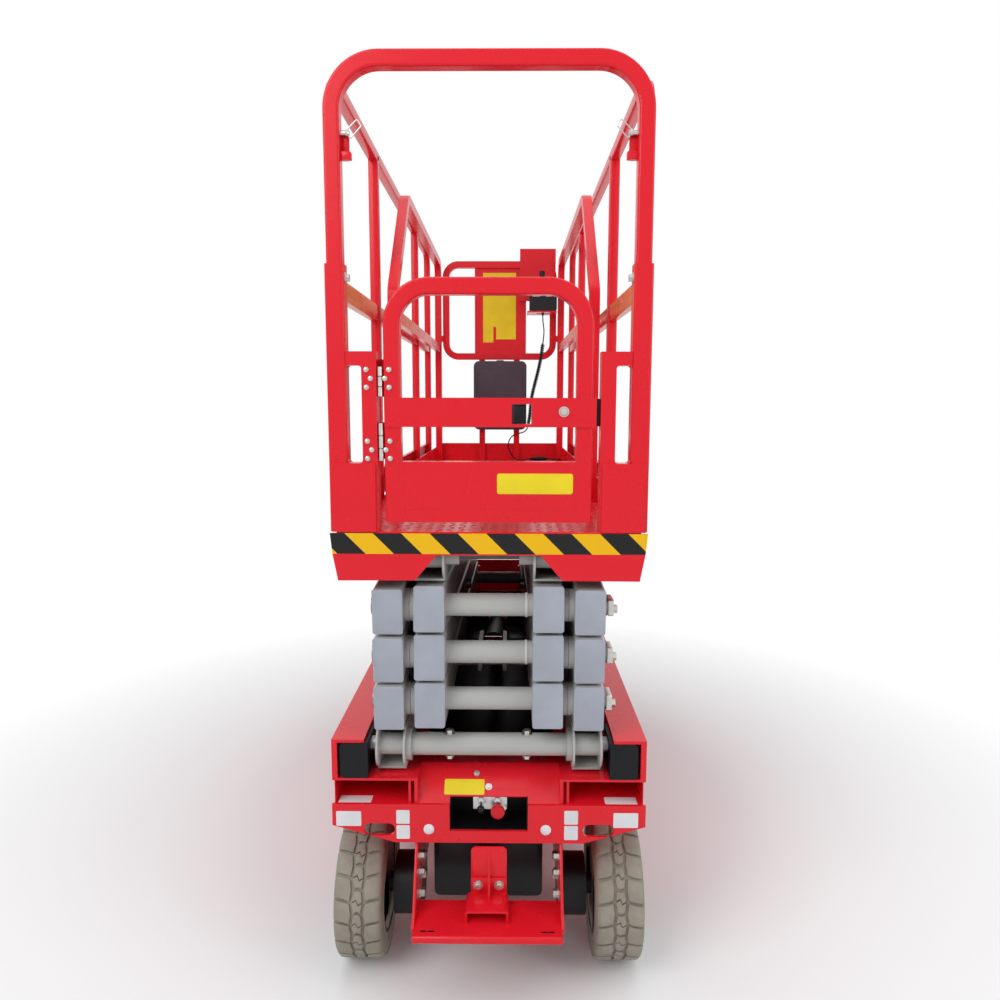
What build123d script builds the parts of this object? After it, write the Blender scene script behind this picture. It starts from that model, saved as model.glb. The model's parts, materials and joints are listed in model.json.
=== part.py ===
from build123d import *
import os
from math import asin, cos, hypot, pi, radians, sin, tan

os.makedirs("parts", exist_ok=True)

# Slab scissor lift, parked with its platform down. Millimetres.
# +X right, +Y towards the steering end, +Z up; the origin is on the floor under the middle.
# "Near" and "far" are distances from the centre plane X = 0; most pieces are mirrored across it.

# ---------------------------------------------------------------- driving dimensions
OVERALL_LENGTH = 2430
STEP_REACH = 160
PLATFORM_HALF_WIDTH = 387.5
CHASSIS_HALF_WIDTH = 400
DECK_TOP = 1235
REAR = STEP_REACH - OVERALL_LENGTH / 2
FRONT = OVERALL_LENGTH / 2

# scissor stack
STAGES = 4
PIVOT_SPAN = 2050
LEVEL_PITCH = 124.5
BASE_PIVOT_Z = 662.5
REAR_PIN_SETBACK = 72
ARM_HEIGHT = 116
ARM_WALL = 6
ARM_CORNER = 9
ARM_END = 60
INNER_ARM_WIDTH = 77
OUTER_ARM_WIDTH = 76
ARM_GAP = 27
RAIL_TO_ARM = 27
PIN_RADIUS = 20
PIN_CLEARANCE = 0.05
BOSS_RADIUS = 42
BOSS_GAP = 1
CROSS_TUBE_RADIUS = 29
CROSS_TUBE_WALL = 6
SLEEVE_RADIUS = 28
PIN_HEAD_RADIUS = 27
PIN_HEAD_REACH = 9
SEAT_GAP = 0.3

# chassis
RAIL_TOP = 700
RAIL_WIDTH = 83
RAIL_PLATE = 8
RAIL_WEB = 14
TRACK_FLOOR = 597
TRACK_PLATE = 6
FRAME_PLATE_NEAR = 182
FRAME_PLATE = 8
PAN_BOTTOM = 430
PAN_PLATE = 6
HUB_PLATE_BOTTOM = 260
HUB_PLATE_LENGTH = 380
END_PLATE = 8
BUMPER_BOTTOM = 428
BUMPER_CORNER_BOTTOM = 474
BUMPER_FLAT_HALF = 240
BUMPER_TOP = 528
POCKET_WIDTH = 187
POCKET_BOTTOM = 531
POCKET_DEPTH = 420
POCKET_WALL = 6
SLOPE_DEPTH = 100

# slide blocks
BLOCK_CLEARANCE = 0.5
BLOCK_PROUD = 9
BLOCK_WEB_GAP = 7
BLOCK_TO_ARM = 18
LOWER_BLOCK_LENGTH = 130
BLOCK_CORNER = 12
UPPER_BLOCK_FAR = 362
UPPER_BLOCK_HEIGHT = 80
UPPER_BLOCK_LENGTH = 110

# wheels
TYRE_RADIUS = 190.5
TYRE_WIDTH = 127
TYRE_PROUD = 10
TYRE_SHOULDER = 14
RIM_RADIUS = 128
RIM_PLATE = 14
REAR_AXLE_SETBACK = 200
WHEELBASE = 1870
HUB_HOUSING_RADIUS = 83
HUB_TO_TYRE = 17
SPINDLE_RADIUS = 28
SPINDLE_SETBACK = 38
KINGPIN_TO_TYRE = 58
KINGPIN_RADIUS = 18
STEER_ARM_LENGTH = 120
STEER_ARM_TOP = 300
TIE_ROD_RADIUS = 12

# platform
DECK_PLATE = 6
SIDE_BEAM_FAR = 372
SIDE_BEAM_WEB = 6
SIDE_BEAM_FLANGE = 6
SKIRT_PLATE = 6
SKIRT_BOTTOM = 1114
SKIRT_BEND = 1181
SKIRT_TOP = 1232
POST_CENTRE = 364
RAIL_TUBE = 38
SOCKET_TUBE = 46
SOCKET_TOP = 1872
REAR_RAIL_TOP = 2347
REAR_RAIL_CORNER = 111
SIDE_TUBE = 30
SIDE_RAIL_TOP = 2315
SIDE_RAIL_CORNER = 60
MID_RAIL_TOP = 1850
MID_RAIL_HEIGHT = 50
TOE_TOP = 1330
TOE_PLATE = 4
PANEL_POST_NEAR = 268
PANEL_POST_WIDTH = 36
PANEL_TOP = 1669
PANEL_BAR = 33
PANEL_PLATE_TOP = 1403

# gate
GATE_NEAR_EDGE = -252
GATE_FAR_EDGE = 250
GATE_TUBE = 40
GATE_TOP = 1842
GATE_CORNER = 90
GATE_BOTTOM = 1258
GATE_PANEL_TOP = 1406
GATE_RAIL_BOTTOM = 1490
GATE_RAIL_TOP = 1560
GATE_SETBACK = 8
HINGE_RADIUS = 7
HINGE_PIN = 3.5
HINGE_LEAF = 3
GATE_HINGES = [(1410, 1500), (1562, 1652)]  # bottom and top of each hinge

# extension
EXT_FAR = 334
EXT_TUBE = 32
EXT_RAIL_TOP = 2260
EXT_REAR_SETBACK = 930
EXT_LEG_SETBACK = 620
EXT_LEG_KNEE = 1890
EXT_DECK_SETBACK = 595
EXT_DECK_PLATE = 5
FRONT_FRAME_HALF = 292
FRONT_FRAME_BOTTOM = 1764
FRONT_TUBE = 33
FRONT_CORNER = 80
LEAD_GLAND_LENGTH = 7
LEAD_GLAND_RADIUS = 8
LEAD_GLAND_SETBACK = 86.3
CONNECTOR_RADIUS = 11

# side trays
TRAY_REAR_SETBACK = 450
TRAY_FRONT_SETBACK = 1760
TRAY_PIN_SETBACK = 12
TRAY_PIN_RADIUS = 8
TRAY_PIN_FOOT = 20
TRAY_LUG = 12
TRAY_BOTTOM = 215
TRAY_TOP = 580
TRAY_NEAR = 205
TRAY_WALL = 5

# lift cylinder
CYL_BASE_REACH = 350
CYL_BASE_DROP = 170
CYL_EYE_OFFSET = 500
BARREL_RADIUS = 42
ROD_RADIUS = 25
EYE_RADIUS = 34
EYE_WIDTH = 56
LUG_PLATE = 12
LUG_GAP = 4

# ---------------------------------------------------------------- worked-out places
STOWED_ANGLE = asin(LEVEL_PITCH / PIVOT_SPAN)
REAR_PIN_Y = REAR + REAR_PIN_SETBACK
FRONT_PIN_Y = REAR_PIN_Y + PIVOT_SPAN * cos(STOWED_ANGLE)
TOP_PIVOT_Z = BASE_PIVOT_Z + STAGES * LEVEL_PITCH
BORE_RADIUS = PIN_RADIUS + PIN_CLEARANCE
RAIL_NEAR = CHASSIS_HALF_WIDTH - RAIL_WIDTH
OUTER_ARM_FAR = RAIL_NEAR - RAIL_TO_ARM
OUTER_ARM_NEAR = OUTER_ARM_FAR - OUTER_ARM_WIDTH
INNER_ARM_FAR = OUTER_ARM_NEAR - ARM_GAP
INNER_ARM_NEAR = INNER_ARM_FAR - INNER_ARM_WIDTH
LOWER_BLOCK_NEAR = RAIL_NEAR - BLOCK_PROUD
LOWER_BLOCK_FAR = CHASSIS_HALF_WIDTH - RAIL_WEB - BLOCK_WEB_GAP
UPPER_BLOCK_NEAR = OUTER_ARM_FAR + BLOCK_TO_ARM
POCKET_FAR = CHASSIS_HALF_WIDTH - RAIL_PLATE
POCKET_NEAR = POCKET_FAR - POCKET_WIDTH
TYRE_FAR = CHASSIS_HALF_WIDTH + TYRE_PROUD
HUB_HOUSING_FAR = TYRE_FAR - TYRE_WIDTH - HUB_TO_TYRE
SPINDLE_FAR = TYRE_FAR - SPINDLE_SETBACK
KINGPIN_FAR = TYRE_FAR - TYRE_WIDTH - KINGPIN_TO_TYRE
ARM_FACES = {"inner": (INNER_ARM_NEAR, INNER_ARM_FAR), "outer": (OUTER_ARM_NEAR, OUTER_ARM_FAR)}
BOSS_PLANE = (INNER_ARM_FAR + OUTER_ARM_NEAR) / 2
REAR_AXLE_Y = REAR + REAR_AXLE_SETBACK
FRONT_AXLE_Y = REAR_AXLE_Y + WHEELBASE
AXLE_Z = TYRE_RADIUS
EXT_DECK_BOTTOM = DECK_TOP + SEAT_GAP
EXT_DECK_TOP = EXT_DECK_BOTTOM + EXT_DECK_PLATE
CONNECTOR_CENTRE_Z = EXT_DECK_TOP + SEAT_GAP + CONNECTOR_RADIUS
LEAD_GLAND_Y = FRONT - LEAD_GLAND_SETBACK
TRAY_PIN_X = CHASSIS_HALF_WIDTH - TRAY_LUG - 2
TRAY_PIN_Y = REAR + TRAY_FRONT_SETBACK + TRAY_PIN_SETBACK
HINGE_X = (GATE_NEAR_EDGE - PANEL_POST_NEAR) / 2
HINGE_Y = REAR + GATE_SETBACK + GATE_TUBE + 2


def cross_plane(y):
    """Upright plane across the machine: sketch x is X, sketch y is Z, normal towards the rear."""
    return Plane(origin=(0, y, 0), x_dir=(1, 0, 0), z_dir=(0, -1, 0))


def side_plane(x):
    """Upright plane along the machine: sketch x is Y, sketch y is Z, normal to the right."""
    return Plane(origin=(x, 0, 0), x_dir=(0, 1, 0), z_dir=(1, 0, 0))


def span(low, high, low_v, high_v, mode=Mode.ADD):
    """Rectangle between two pairs of sketch coordinates."""
    with Locations(((low + high) / 2, (low_v + high_v) / 2)):
        Rectangle(high - low, high_v - low_v, mode=mode)


def slab(x, y, z, mode=Mode.ADD):
    """Plate or bar between the (low, high) pairs along X, Y and Z."""
    with Locations(((x[0] + x[1]) / 2, (y[0] + y[1]) / 2, (z[0] + z[1]) / 2)):
        Box(x[1] - x[0], y[1] - y[0], z[1] - z[0], mode=mode)


def save(piece, label):
    piece.part.label = label
    export_step(piece.part, "parts/" + label + ".step")


def level_z(level):
    return BASE_PIVOT_Z + level * LEVEL_PITCH


def arm_frame(kind, stage):
    """Side plane of an arm pair: origin at the rear pin, sketch x along the arm to the front pin."""
    rear_level = stage if kind == "inner" else stage - 1
    rise = -sin(STOWED_ANGLE) if kind == "inner" else sin(STOWED_ANGLE)
    return Plane(
        origin=(0, REAR_PIN_Y, level_z(rear_level)),
        x_dir=(0, cos(STOWED_ANGLE), rise),
        z_dir=(1, 0, 0),
    )


# ---------------------------------------------------------------- scissor arms
# Each pair is two rectangular tubes with sleeves at the rear, middle and front pivots. The inner pair
# is tied by round cross tubes; an end that turns beside a floor is rounded about its pin.
ARM_PAIRS = [  # kind, stage, rounded end, cross tubes at these distances from the rear pin
    ("inner", 1, "front", (0, PIVOT_SPAN / 2 - CYL_EYE_OFFSET - 110, PIVOT_SPAN - 160)),
    ("inner", 2, None, (0, PIVOT_SPAN)),
    ("inner", 3, None, (0, PIVOT_SPAN)),
    ("inner", 4, "rear", (160, PIVOT_SPAN)),
    ("outer", 1, "rear", (0,)),
    ("outer", 2, None, ()),
    ("outer", 3, None, ()),
    ("outer", 4, "front", ()),
]
for kind, stage, rounded_end, cross_tubes in ARM_PAIRS:
    near, far = ARM_FACES[kind]
    frame = arm_frame(kind, stage)
    with BuildPart() as arms:
        tube_start = Plane(
            origin=frame.from_local_coords((-ARM_END, 0, 0)), x_dir=(1, 0, 0), z_dir=frame.x_dir
        )
        with BuildSketch(tube_start):
            with Locations(((near + far) / 2, 0)):
                RectangleRounded(far - near, ARM_HEIGHT, ARM_CORNER)
        extrude(amount=PIVOT_SPAN + 2 * ARM_END)
        with BuildSketch(tube_start.offset(ARM_WALL)):
            with Locations(((near + far) / 2, 0)):
                Rectangle(far - near - 2 * ARM_WALL, ARM_HEIGHT - 2 * ARM_WALL)
        extrude(amount=PIVOT_SPAN + 2 * ARM_END - 2 * ARM_WALL, mode=Mode.SUBTRACT)
        with BuildSketch(frame.offset(near)):
            with Locations((0, 0), (PIVOT_SPAN / 2, 0), (PIVOT_SPAN, 0)):
                Circle(SLEEVE_RADIUS)
        extrude(amount=far - near)
        if rounded_end:
            pivot, inward = (0, 1) if rounded_end == "rear" else (PIVOT_SPAN, -1)
            with BuildSketch(frame.offset(near)):
                with Locations((pivot - inward * ARM_END / 2, 0)):
                    Rectangle(ARM_END, ARM_HEIGHT)
                with Locations((pivot, 0)):
                    Circle(ARM_HEIGHT / 2, mode=Mode.SUBTRACT)
            extrude(amount=far - near, mode=Mode.SUBTRACT)
        boss_base = far if kind == "inner" else BOSS_PLANE + BOSS_GAP / 2
        boss_end = BOSS_PLANE - BOSS_GAP / 2 if kind == "inner" else near
        with BuildSketch(frame.offset(boss_base)):
            with Locations((0, 0), (PIVOT_SPAN / 2, 0), (PIVOT_SPAN, 0)):
                Circle(BOSS_RADIUS)
        extrude(amount=boss_end - boss_base)
        with BuildSketch(frame.offset(near - BOSS_RADIUS)):
            with Locations((0, 0), (PIVOT_SPAN / 2, 0), (PIVOT_SPAN, 0)):
                Circle(BORE_RADIUS)
        extrude(amount=far - near + 2 * BOSS_RADIUS, mode=Mode.SUBTRACT)
        mirror(about=Plane.YZ)
        for place in cross_tubes:
            with BuildSketch(frame.offset(-near)):
                with Locations((place, 0)):
                    Circle(CROSS_TUBE_RADIUS)
                    Circle(CROSS_TUBE_RADIUS - CROSS_TUBE_WALL, mode=Mode.SUBTRACT)
            extrude(amount=2 * near)
        if (kind, stage) == ("inner", 1):
            # two long lug plates on the second cross tube, either side of the rod's eye
            eye_place = PIVOT_SPAN / 2 - CYL_EYE_OFFSET
            for side in (-1, 1):
                lug_near = EYE_WIDTH / 2 + LUG_GAP
                lug_start = lug_near if side > 0 else -lug_near - LUG_PLATE
                with BuildSketch(frame.offset(lug_start)):
                    with BuildLine():
                        FilletPolyline(
                            (cross_tubes[1] - 40, 45),
                            (cross_tubes[1] - 40, -45),
                            (eye_place + 60, -45),
                            (eye_place + 60, 45),
                            radius=30,
                            close=True,
                        )
                    make_face()
                    with Locations((cross_tubes[1], 0)):
                        Circle(CROSS_TUBE_RADIUS - CROSS_TUBE_WALL / 2, mode=Mode.SUBTRACT)
                extrude(amount=LUG_PLATE)
        if (kind, stage) == ("inner", 4):
            # the slide shafts run out to the blocks in the platform's side beams
            for side in (-1, 1):
                shaft_start = near - 34 if side > 0 else -UPPER_BLOCK_FAR
                with BuildSketch(frame.offset(shaft_start)):
                    Circle(PIN_RADIUS)
                extrude(amount=UPPER_BLOCK_FAR - near + 34)
                with BuildSketch(frame.offset(near if side > 0 else -far)):
                    Circle(SLEEVE_RADIUS)
                extrude(amount=far - near)
    save(arms, kind + "_arms_" + str(stage))

# ---------------------------------------------------------------- pivot pins on the outer arms
for stage in range(1, STAGES + 1):
    frame = arm_frame("outer", stage)
    pin_reach = OUTER_ARM_FAR + SEAT_GAP + PIN_HEAD_REACH
    with BuildPart() as pins:
        for place in (0, PIVOT_SPAN / 2, PIVOT_SPAN):
            slide_end = stage == 1 and place == 0
            top_end = stage == STAGES and place == PIVOT_SPAN
            pin_far = LOWER_BLOCK_FAR if slide_end else pin_reach
            pin_near = OUTER_ARM_NEAR - 30 if top_end else INNER_ARM_NEAR - 15
            with BuildSketch(frame.offset(pin_near)):
                with Locations((place, 0)):
                    Circle(PIN_RADIUS)
            extrude(amount=pin_far - pin_near)
            if not slide_end and not top_end:
                with BuildSketch(frame.offset(pin_reach - PIN_HEAD_REACH)):
                    with Locations((place, 0)):
                        Circle(PIN_HEAD_RADIUS)
                extrude(amount=PIN_HEAD_REACH)
        mirror(about=Plane.YZ)
    save(pins, "pins_" + str(stage))

# ---------------------------------------------------------------- slide blocks
with BuildPart() as lower_blocks:
    with BuildSketch(cross_plane(REAR_PIN_Y - LOWER_BLOCK_LENGTH / 2)) as block_face:
        span(
            LOWER_BLOCK_NEAR,
            LOWER_BLOCK_FAR,
            TRACK_FLOOR + BLOCK_CLEARANCE,
            RAIL_TOP - RAIL_PLATE - BLOCK_CLEARANCE,
        )
        fillet(block_face.vertices().group_by(Axis.X)[-1], BLOCK_CORNER)
    extrude(amount=-LOWER_BLOCK_LENGTH)
    with BuildSketch(side_plane(LOWER_BLOCK_NEAR)):
        with Locations((REAR_PIN_Y, BASE_PIVOT_Z)):
            Circle(BORE_RADIUS)
    extrude(amount=LOWER_BLOCK_FAR - LOWER_BLOCK_NEAR, mode=Mode.SUBTRACT)
    mirror(about=Plane.YZ)
save(lower_blocks, "lower_slide_blocks")

with BuildPart() as upper_blocks:
    with BuildSketch(side_plane(UPPER_BLOCK_NEAR)):
        with Locations((REAR_PIN_Y, TOP_PIVOT_Z)):
            RectangleRounded(UPPER_BLOCK_LENGTH, UPPER_BLOCK_HEIGHT - 2 * BLOCK_CLEARANCE, BLOCK_CORNER)
            Circle(BORE_RADIUS, mode=Mode.SUBTRACT)
    extrude(amount=UPPER_BLOCK_FAR - UPPER_BLOCK_NEAR)
    mirror(about=Plane.YZ)
save(upper_blocks, "upper_slide_blocks")

# ---------------------------------------------------------------- slide rails
# two channels, open towards the middle, that the lower slide blocks run in
with BuildPart() as slide_rails:
    with BuildSketch(cross_plane(REAR + END_PLATE)):
        with BuildLine():
            Polyline(
                (RAIL_NEAR, RAIL_TOP),
                (CHASSIS_HALF_WIDTH, RAIL_TOP),
                (CHASSIS_HALF_WIDTH, TRACK_FLOOR - TRACK_PLATE),
                (RAIL_NEAR, TRACK_FLOOR - TRACK_PLATE),
                (RAIL_NEAR, TRACK_FLOOR),
                (CHASSIS_HALF_WIDTH - RAIL_WEB, TRACK_FLOOR),
                (CHASSIS_HALF_WIDTH - RAIL_WEB, RAIL_TOP - RAIL_PLATE),
                (RAIL_NEAR, RAIL_TOP - RAIL_PLATE),
                close=True,
            )
        make_face()
    extrude(amount=REAR + 2 * END_PLATE - FRONT)
    # hinge pins that the side trays swing on, hung from the rails' floor
    with BuildSketch(Plane.XY.offset(TRAY_BOTTOM + TRAY_PIN_FOOT)):
        with Locations((TRAY_PIN_X, TRAY_PIN_Y)):
            Circle(TRAY_PIN_RADIUS)
    extrude(amount=TRACK_FLOOR - TRACK_PLATE - TRAY_BOTTOM - TRAY_PIN_FOOT)
    mirror(about=Plane.YZ)
save(slide_rails, "slide_rails")

# ---------------------------------------------------------------- chassis frame
with BuildPart() as chassis_frame:
    with BuildSketch(cross_plane(REAR + END_PLATE)):
        span(FRAME_PLATE_NEAR, RAIL_NEAR, TRACK_FLOOR - TRACK_PLATE, TRACK_FLOOR)
    extrude(amount=REAR + 2 * END_PLATE - FRONT)
    with BuildSketch(side_plane(FRAME_PLATE_NEAR)):
        with BuildLine():
            Polyline(
                (REAR + END_PLATE, TRACK_FLOOR),
                (FRONT - END_PLATE, TRACK_FLOOR),
                (FRONT - END_PLATE, PAN_BOTTOM),
                (REAR + HUB_PLATE_LENGTH + 60, PAN_BOTTOM),
                (REAR + HUB_PLATE_LENGTH, HUB_PLATE_BOTTOM),
                (REAR + END_PLATE, HUB_PLATE_BOTTOM),
                close=True,
            )
        make_face()
    extrude(amount=FRAME_PLATE)
    mirror(about=Plane.YZ)
    slab(
        (-FRAME_PLATE_NEAR, FRAME_PLATE_NEAR),
        (REAR + 300, FRONT - END_PLATE),
        (PAN_BOTTOM, PAN_BOTTOM + PAN_PLATE),
    )
    # front end plate
    slab(
        (-CHASSIS_HALF_WIDTH, CHASSIS_HALF_WIDTH),
        (FRONT - END_PLATE, FRONT),
        (PAN_BOTTOM, RAIL_TOP),
    )
save(chassis_frame, "chassis_frame")

# ---------------------------------------------------------------- rear end with its fork pockets
with BuildPart() as rear_end:
    with BuildSketch(cross_plane(REAR)):
        with BuildLine():
            Polyline(
                (BUMPER_FLAT_HALF, BUMPER_BOTTOM),
                (CHASSIS_HALF_WIDTH, BUMPER_CORNER_BOTTOM),
                (CHASSIS_HALF_WIDTH, POCKET_BOTTOM),
                (-CHASSIS_HALF_WIDTH, POCKET_BOTTOM),
                (-CHASSIS_HALF_WIDTH, BUMPER_CORNER_BOTTOM),
                (-BUMPER_FLAT_HALF, BUMPER_BOTTOM),
                close=True,
            )
        make_face()
        span(-100, 100, 460, POCKET_BOTTOM, mode=Mode.SUBTRACT)
        with Locations((280, 463), (-280, 463)):
            SlotOverall(80, 33, mode=Mode.SUBTRACT)
    extrude(amount=-END_PLATE)
save(rear_end, "rear_end")

# the rest of the rear end is on its own plate: pocket tunnels and the sloped step between them
with BuildPart() as fork_pockets:
    with BuildSketch(cross_plane(REAR + END_PLATE)):
        span(
            POCKET_NEAR - POCKET_WALL,
            CHASSIS_HALF_WIDTH - POCKET_WALL,
            POCKET_BOTTOM - POCKET_WALL,
            TRACK_FLOOR - TRACK_PLATE,
        )
        span(POCKET_NEAR, POCKET_FAR, POCKET_BOTTOM, TRACK_FLOOR - TRACK_PLATE, mode=Mode.SUBTRACT)
    extrude(amount=-POCKET_DEPTH)
    mirror(about=Plane.YZ)
    with BuildSketch(side_plane(-FRAME_PLATE_NEAR)):
        with BuildLine():
            Polyline(
                (REAR + END_PLATE, BUMPER_TOP),
                (REAR + SLOPE_DEPTH, TRACK_FLOOR),
                (REAR + SLOPE_DEPTH + 60, TRACK_FLOOR),
                (REAR + SLOPE_DEPTH + 60, TRACK_FLOOR - TRACK_PLATE),
                (REAR + SLOPE_DEPTH + 2, TRACK_FLOOR - TRACK_PLATE),
                (REAR + END_PLATE, BUMPER_TOP - TRACK_PLATE - 2),
                close=True,
            )
        make_face()
    extrude(amount=2 * FRAME_PLATE_NEAR)
    slab((-100, 100), (REAR + END_PLATE, REAR + 46), (BUMPER_TOP - 40, 553), mode=Mode.SUBTRACT)
save(fork_pockets, "fork_pockets")

# ---------------------------------------------------------------- rear step
STEP_HALF = 186
STEP_PLATE = 8
with BuildPart() as rear_step:
    slab(
        (-STEP_HALF, STEP_HALF),
        (REAR - STEP_REACH, REAR + 130),
        (HUB_PLATE_BOTTOM - STEP_PLATE, HUB_PLATE_BOTTOM),
    )
    with BuildSketch(cross_plane(REAR - 60)):
        span(-56, 48, HUB_PLATE_BOTTOM, HUB_PLATE_BOTTOM + 45)
        span(-48, 40, HUB_PLATE_BOTTOM, HUB_PLATE_BOTTOM + 37, mode=Mode.SUBTRACT)
    extrude(amount=-110)
    slab((-42, 34), (REAR + 44, REAR + 50), (HUB_PLATE_BOTTOM + 45, 388))
    with BuildSketch(side_plane(-7)):
        with BuildLine():
            Polyline(
                (REAR + 44, HUB_PLATE_BOTTOM + 45),
                (REAR + 44, 376),
                (REAR + 6, HUB_PLATE_BOTTOM + 45),
                close=True,
            )
        make_face()
    extrude(amount=6)
save(rear_step, "rear_step")

# ---------------------------------------------------------------- rear drum housings
with BuildPart() as rear_drums:
    with BuildSketch(side_plane(FRAME_PLATE_NEAR + FRAME_PLATE)):
        with Locations((REAR_AXLE_Y, AXLE_Z)):
            Circle(HUB_HOUSING_RADIUS)
    extrude(amount=HUB_HOUSING_FAR - FRAME_PLATE_NEAR - FRAME_PLATE)
    with BuildSketch(side_plane(HUB_HOUSING_FAR)):
        with Locations((REAR_AXLE_Y, AXLE_Z)):
            Circle(SPINDLE_RADIUS)
    extrude(amount=SPINDLE_FAR - HUB_HOUSING_FAR)
    # mounting plate that joins the drum to the longitudinal plate above the step
    with BuildSketch(side_plane(FRAME_PLATE_NEAR + FRAME_PLATE)):
        span(REAR_AXLE_Y - 95, REAR_AXLE_Y + 95, AXLE_Z - 40, AXLE_Z + 150)
    extrude(amount=10)
    mirror(about=Plane.YZ)
save(rear_drums, "rear_drums")

# ---------------------------------------------------------------- front axle and steering
KNUCKLE_TOP = 330
KNUCKLE_BOTTOM = 110
AXLE_BOSS_RADIUS = 32
with BuildPart() as front_axle:
    with BuildSketch(Plane.XY.offset(KNUCKLE_TOP + SEAT_GAP)):
        with Locations((KINGPIN_FAR, FRONT_AXLE_Y)):
            Circle(AXLE_BOSS_RADIUS)
    extrude(amount=PAN_BOTTOM - KNUCKLE_TOP - SEAT_GAP)
    with BuildSketch(Plane.XY.offset(KNUCKLE_TOP + SEAT_GAP)):
        with Locations((KINGPIN_FAR, FRONT_AXLE_Y)):
            Circle(KINGPIN_RADIUS + PIN_CLEARANCE)
    extrude(amount=60, mode=Mode.SUBTRACT)
    mirror(about=Plane.YZ)
    slab((-262, 262), (FRONT_AXLE_Y - 45, FRONT_AXLE_Y + 45), (PAN_BOTTOM - 40, PAN_BOTTOM))
    with BuildSketch(Plane.XY.offset(PAN_BOTTOM - 41)):
        with Locations((KINGPIN_FAR, FRONT_AXLE_Y), (-KINGPIN_FAR, FRONT_AXLE_Y)):
            Circle(KINGPIN_RADIUS + PIN_CLEARANCE)
    extrude(amount=2, mode=Mode.SUBTRACT)
save(front_axle, "front_axle")

for label, side in (("left", -1), ("right", 1)):
    kingpin_x = side * KINGPIN_FAR
    with BuildPart() as knuckle:
        # kingpin
        with BuildSketch(Plane.XY.offset(AXLE_Z)):
            with Locations((kingpin_x, FRONT_AXLE_Y)):
                Circle(KINGPIN_RADIUS)
        extrude(amount=KNUCKLE_TOP + 55 - AXLE_Z)
        # post and spindle
        with BuildSketch(Plane.XY.offset(KNUCKLE_BOTTOM)):
            with Locations((kingpin_x, FRONT_AXLE_Y)):
                Circle(AXLE_BOSS_RADIUS)
        extrude(amount=KNUCKLE_TOP - KNUCKLE_BOTTOM)
        with BuildSketch(side_plane(kingpin_x)):
            with Locations((FRONT_AXLE_Y, AXLE_Z)):
                Circle(SPINDLE_RADIUS)
        extrude(amount=side * (SPINDLE_FAR - KINGPIN_FAR))
        with BuildSketch(side_plane(kingpin_x)):
            with Locations((FRONT_AXLE_Y, AXLE_Z)):
                Circle(HUB_HOUSING_RADIUS - 13)
        extrude(amount=side * (HUB_HOUSING_FAR - KINGPIN_FAR))
        # steering arm, rearwards and inwards
        with BuildSketch(Plane.XY.offset(STEER_ARM_TOP - 14)):
            with BuildLine():
                Polyline(
                    (kingpin_x - 24, FRONT_AXLE_Y),
                    (kingpin_x + 24, FRONT_AXLE_Y),
                    (kingpin_x + 20, FRONT_AXLE_Y - STEER_ARM_LENGTH),
                    (kingpin_x - 20, FRONT_AXLE_Y - STEER_ARM_LENGTH),
                    close=True,
                )
            make_face()
            with Locations((kingpin_x, FRONT_AXLE_Y - STEER_ARM_LENGTH)):
                Circle(20)
                Circle(10 + PIN_CLEARANCE, mode=Mode.SUBTRACT)
        extrude(amount=14)
    save(knuckle, "knuckle_" + label)

with BuildPart() as tie_rod:
    rod_end_x = KINGPIN_FAR
    rod_y = FRONT_AXLE_Y - STEER_ARM_LENGTH
    rod_z = STEER_ARM_TOP + 1 + TIE_ROD_RADIUS
    with BuildSketch(side_plane(-rod_end_x)):
        with Locations((rod_y, rod_z)):
            Circle(TIE_ROD_RADIUS)
    extrude(amount=2 * rod_end_x)
    with BuildSketch(Plane.XY.offset(STEER_ARM_TOP + SEAT_GAP)):
        with Locations((rod_end_x, rod_y), (-rod_end_x, rod_y)):
            Circle(17)
    extrude(amount=2 * TIE_ROD_RADIUS + 2)
    with BuildSketch(Plane.XY.offset(STEER_ARM_TOP - 20)):
        with Locations((rod_end_x, rod_y), (-rod_end_x, rod_y)):
            Circle(10)
    extrude(amount=30)
save(tie_rod, "tie_rod")

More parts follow.
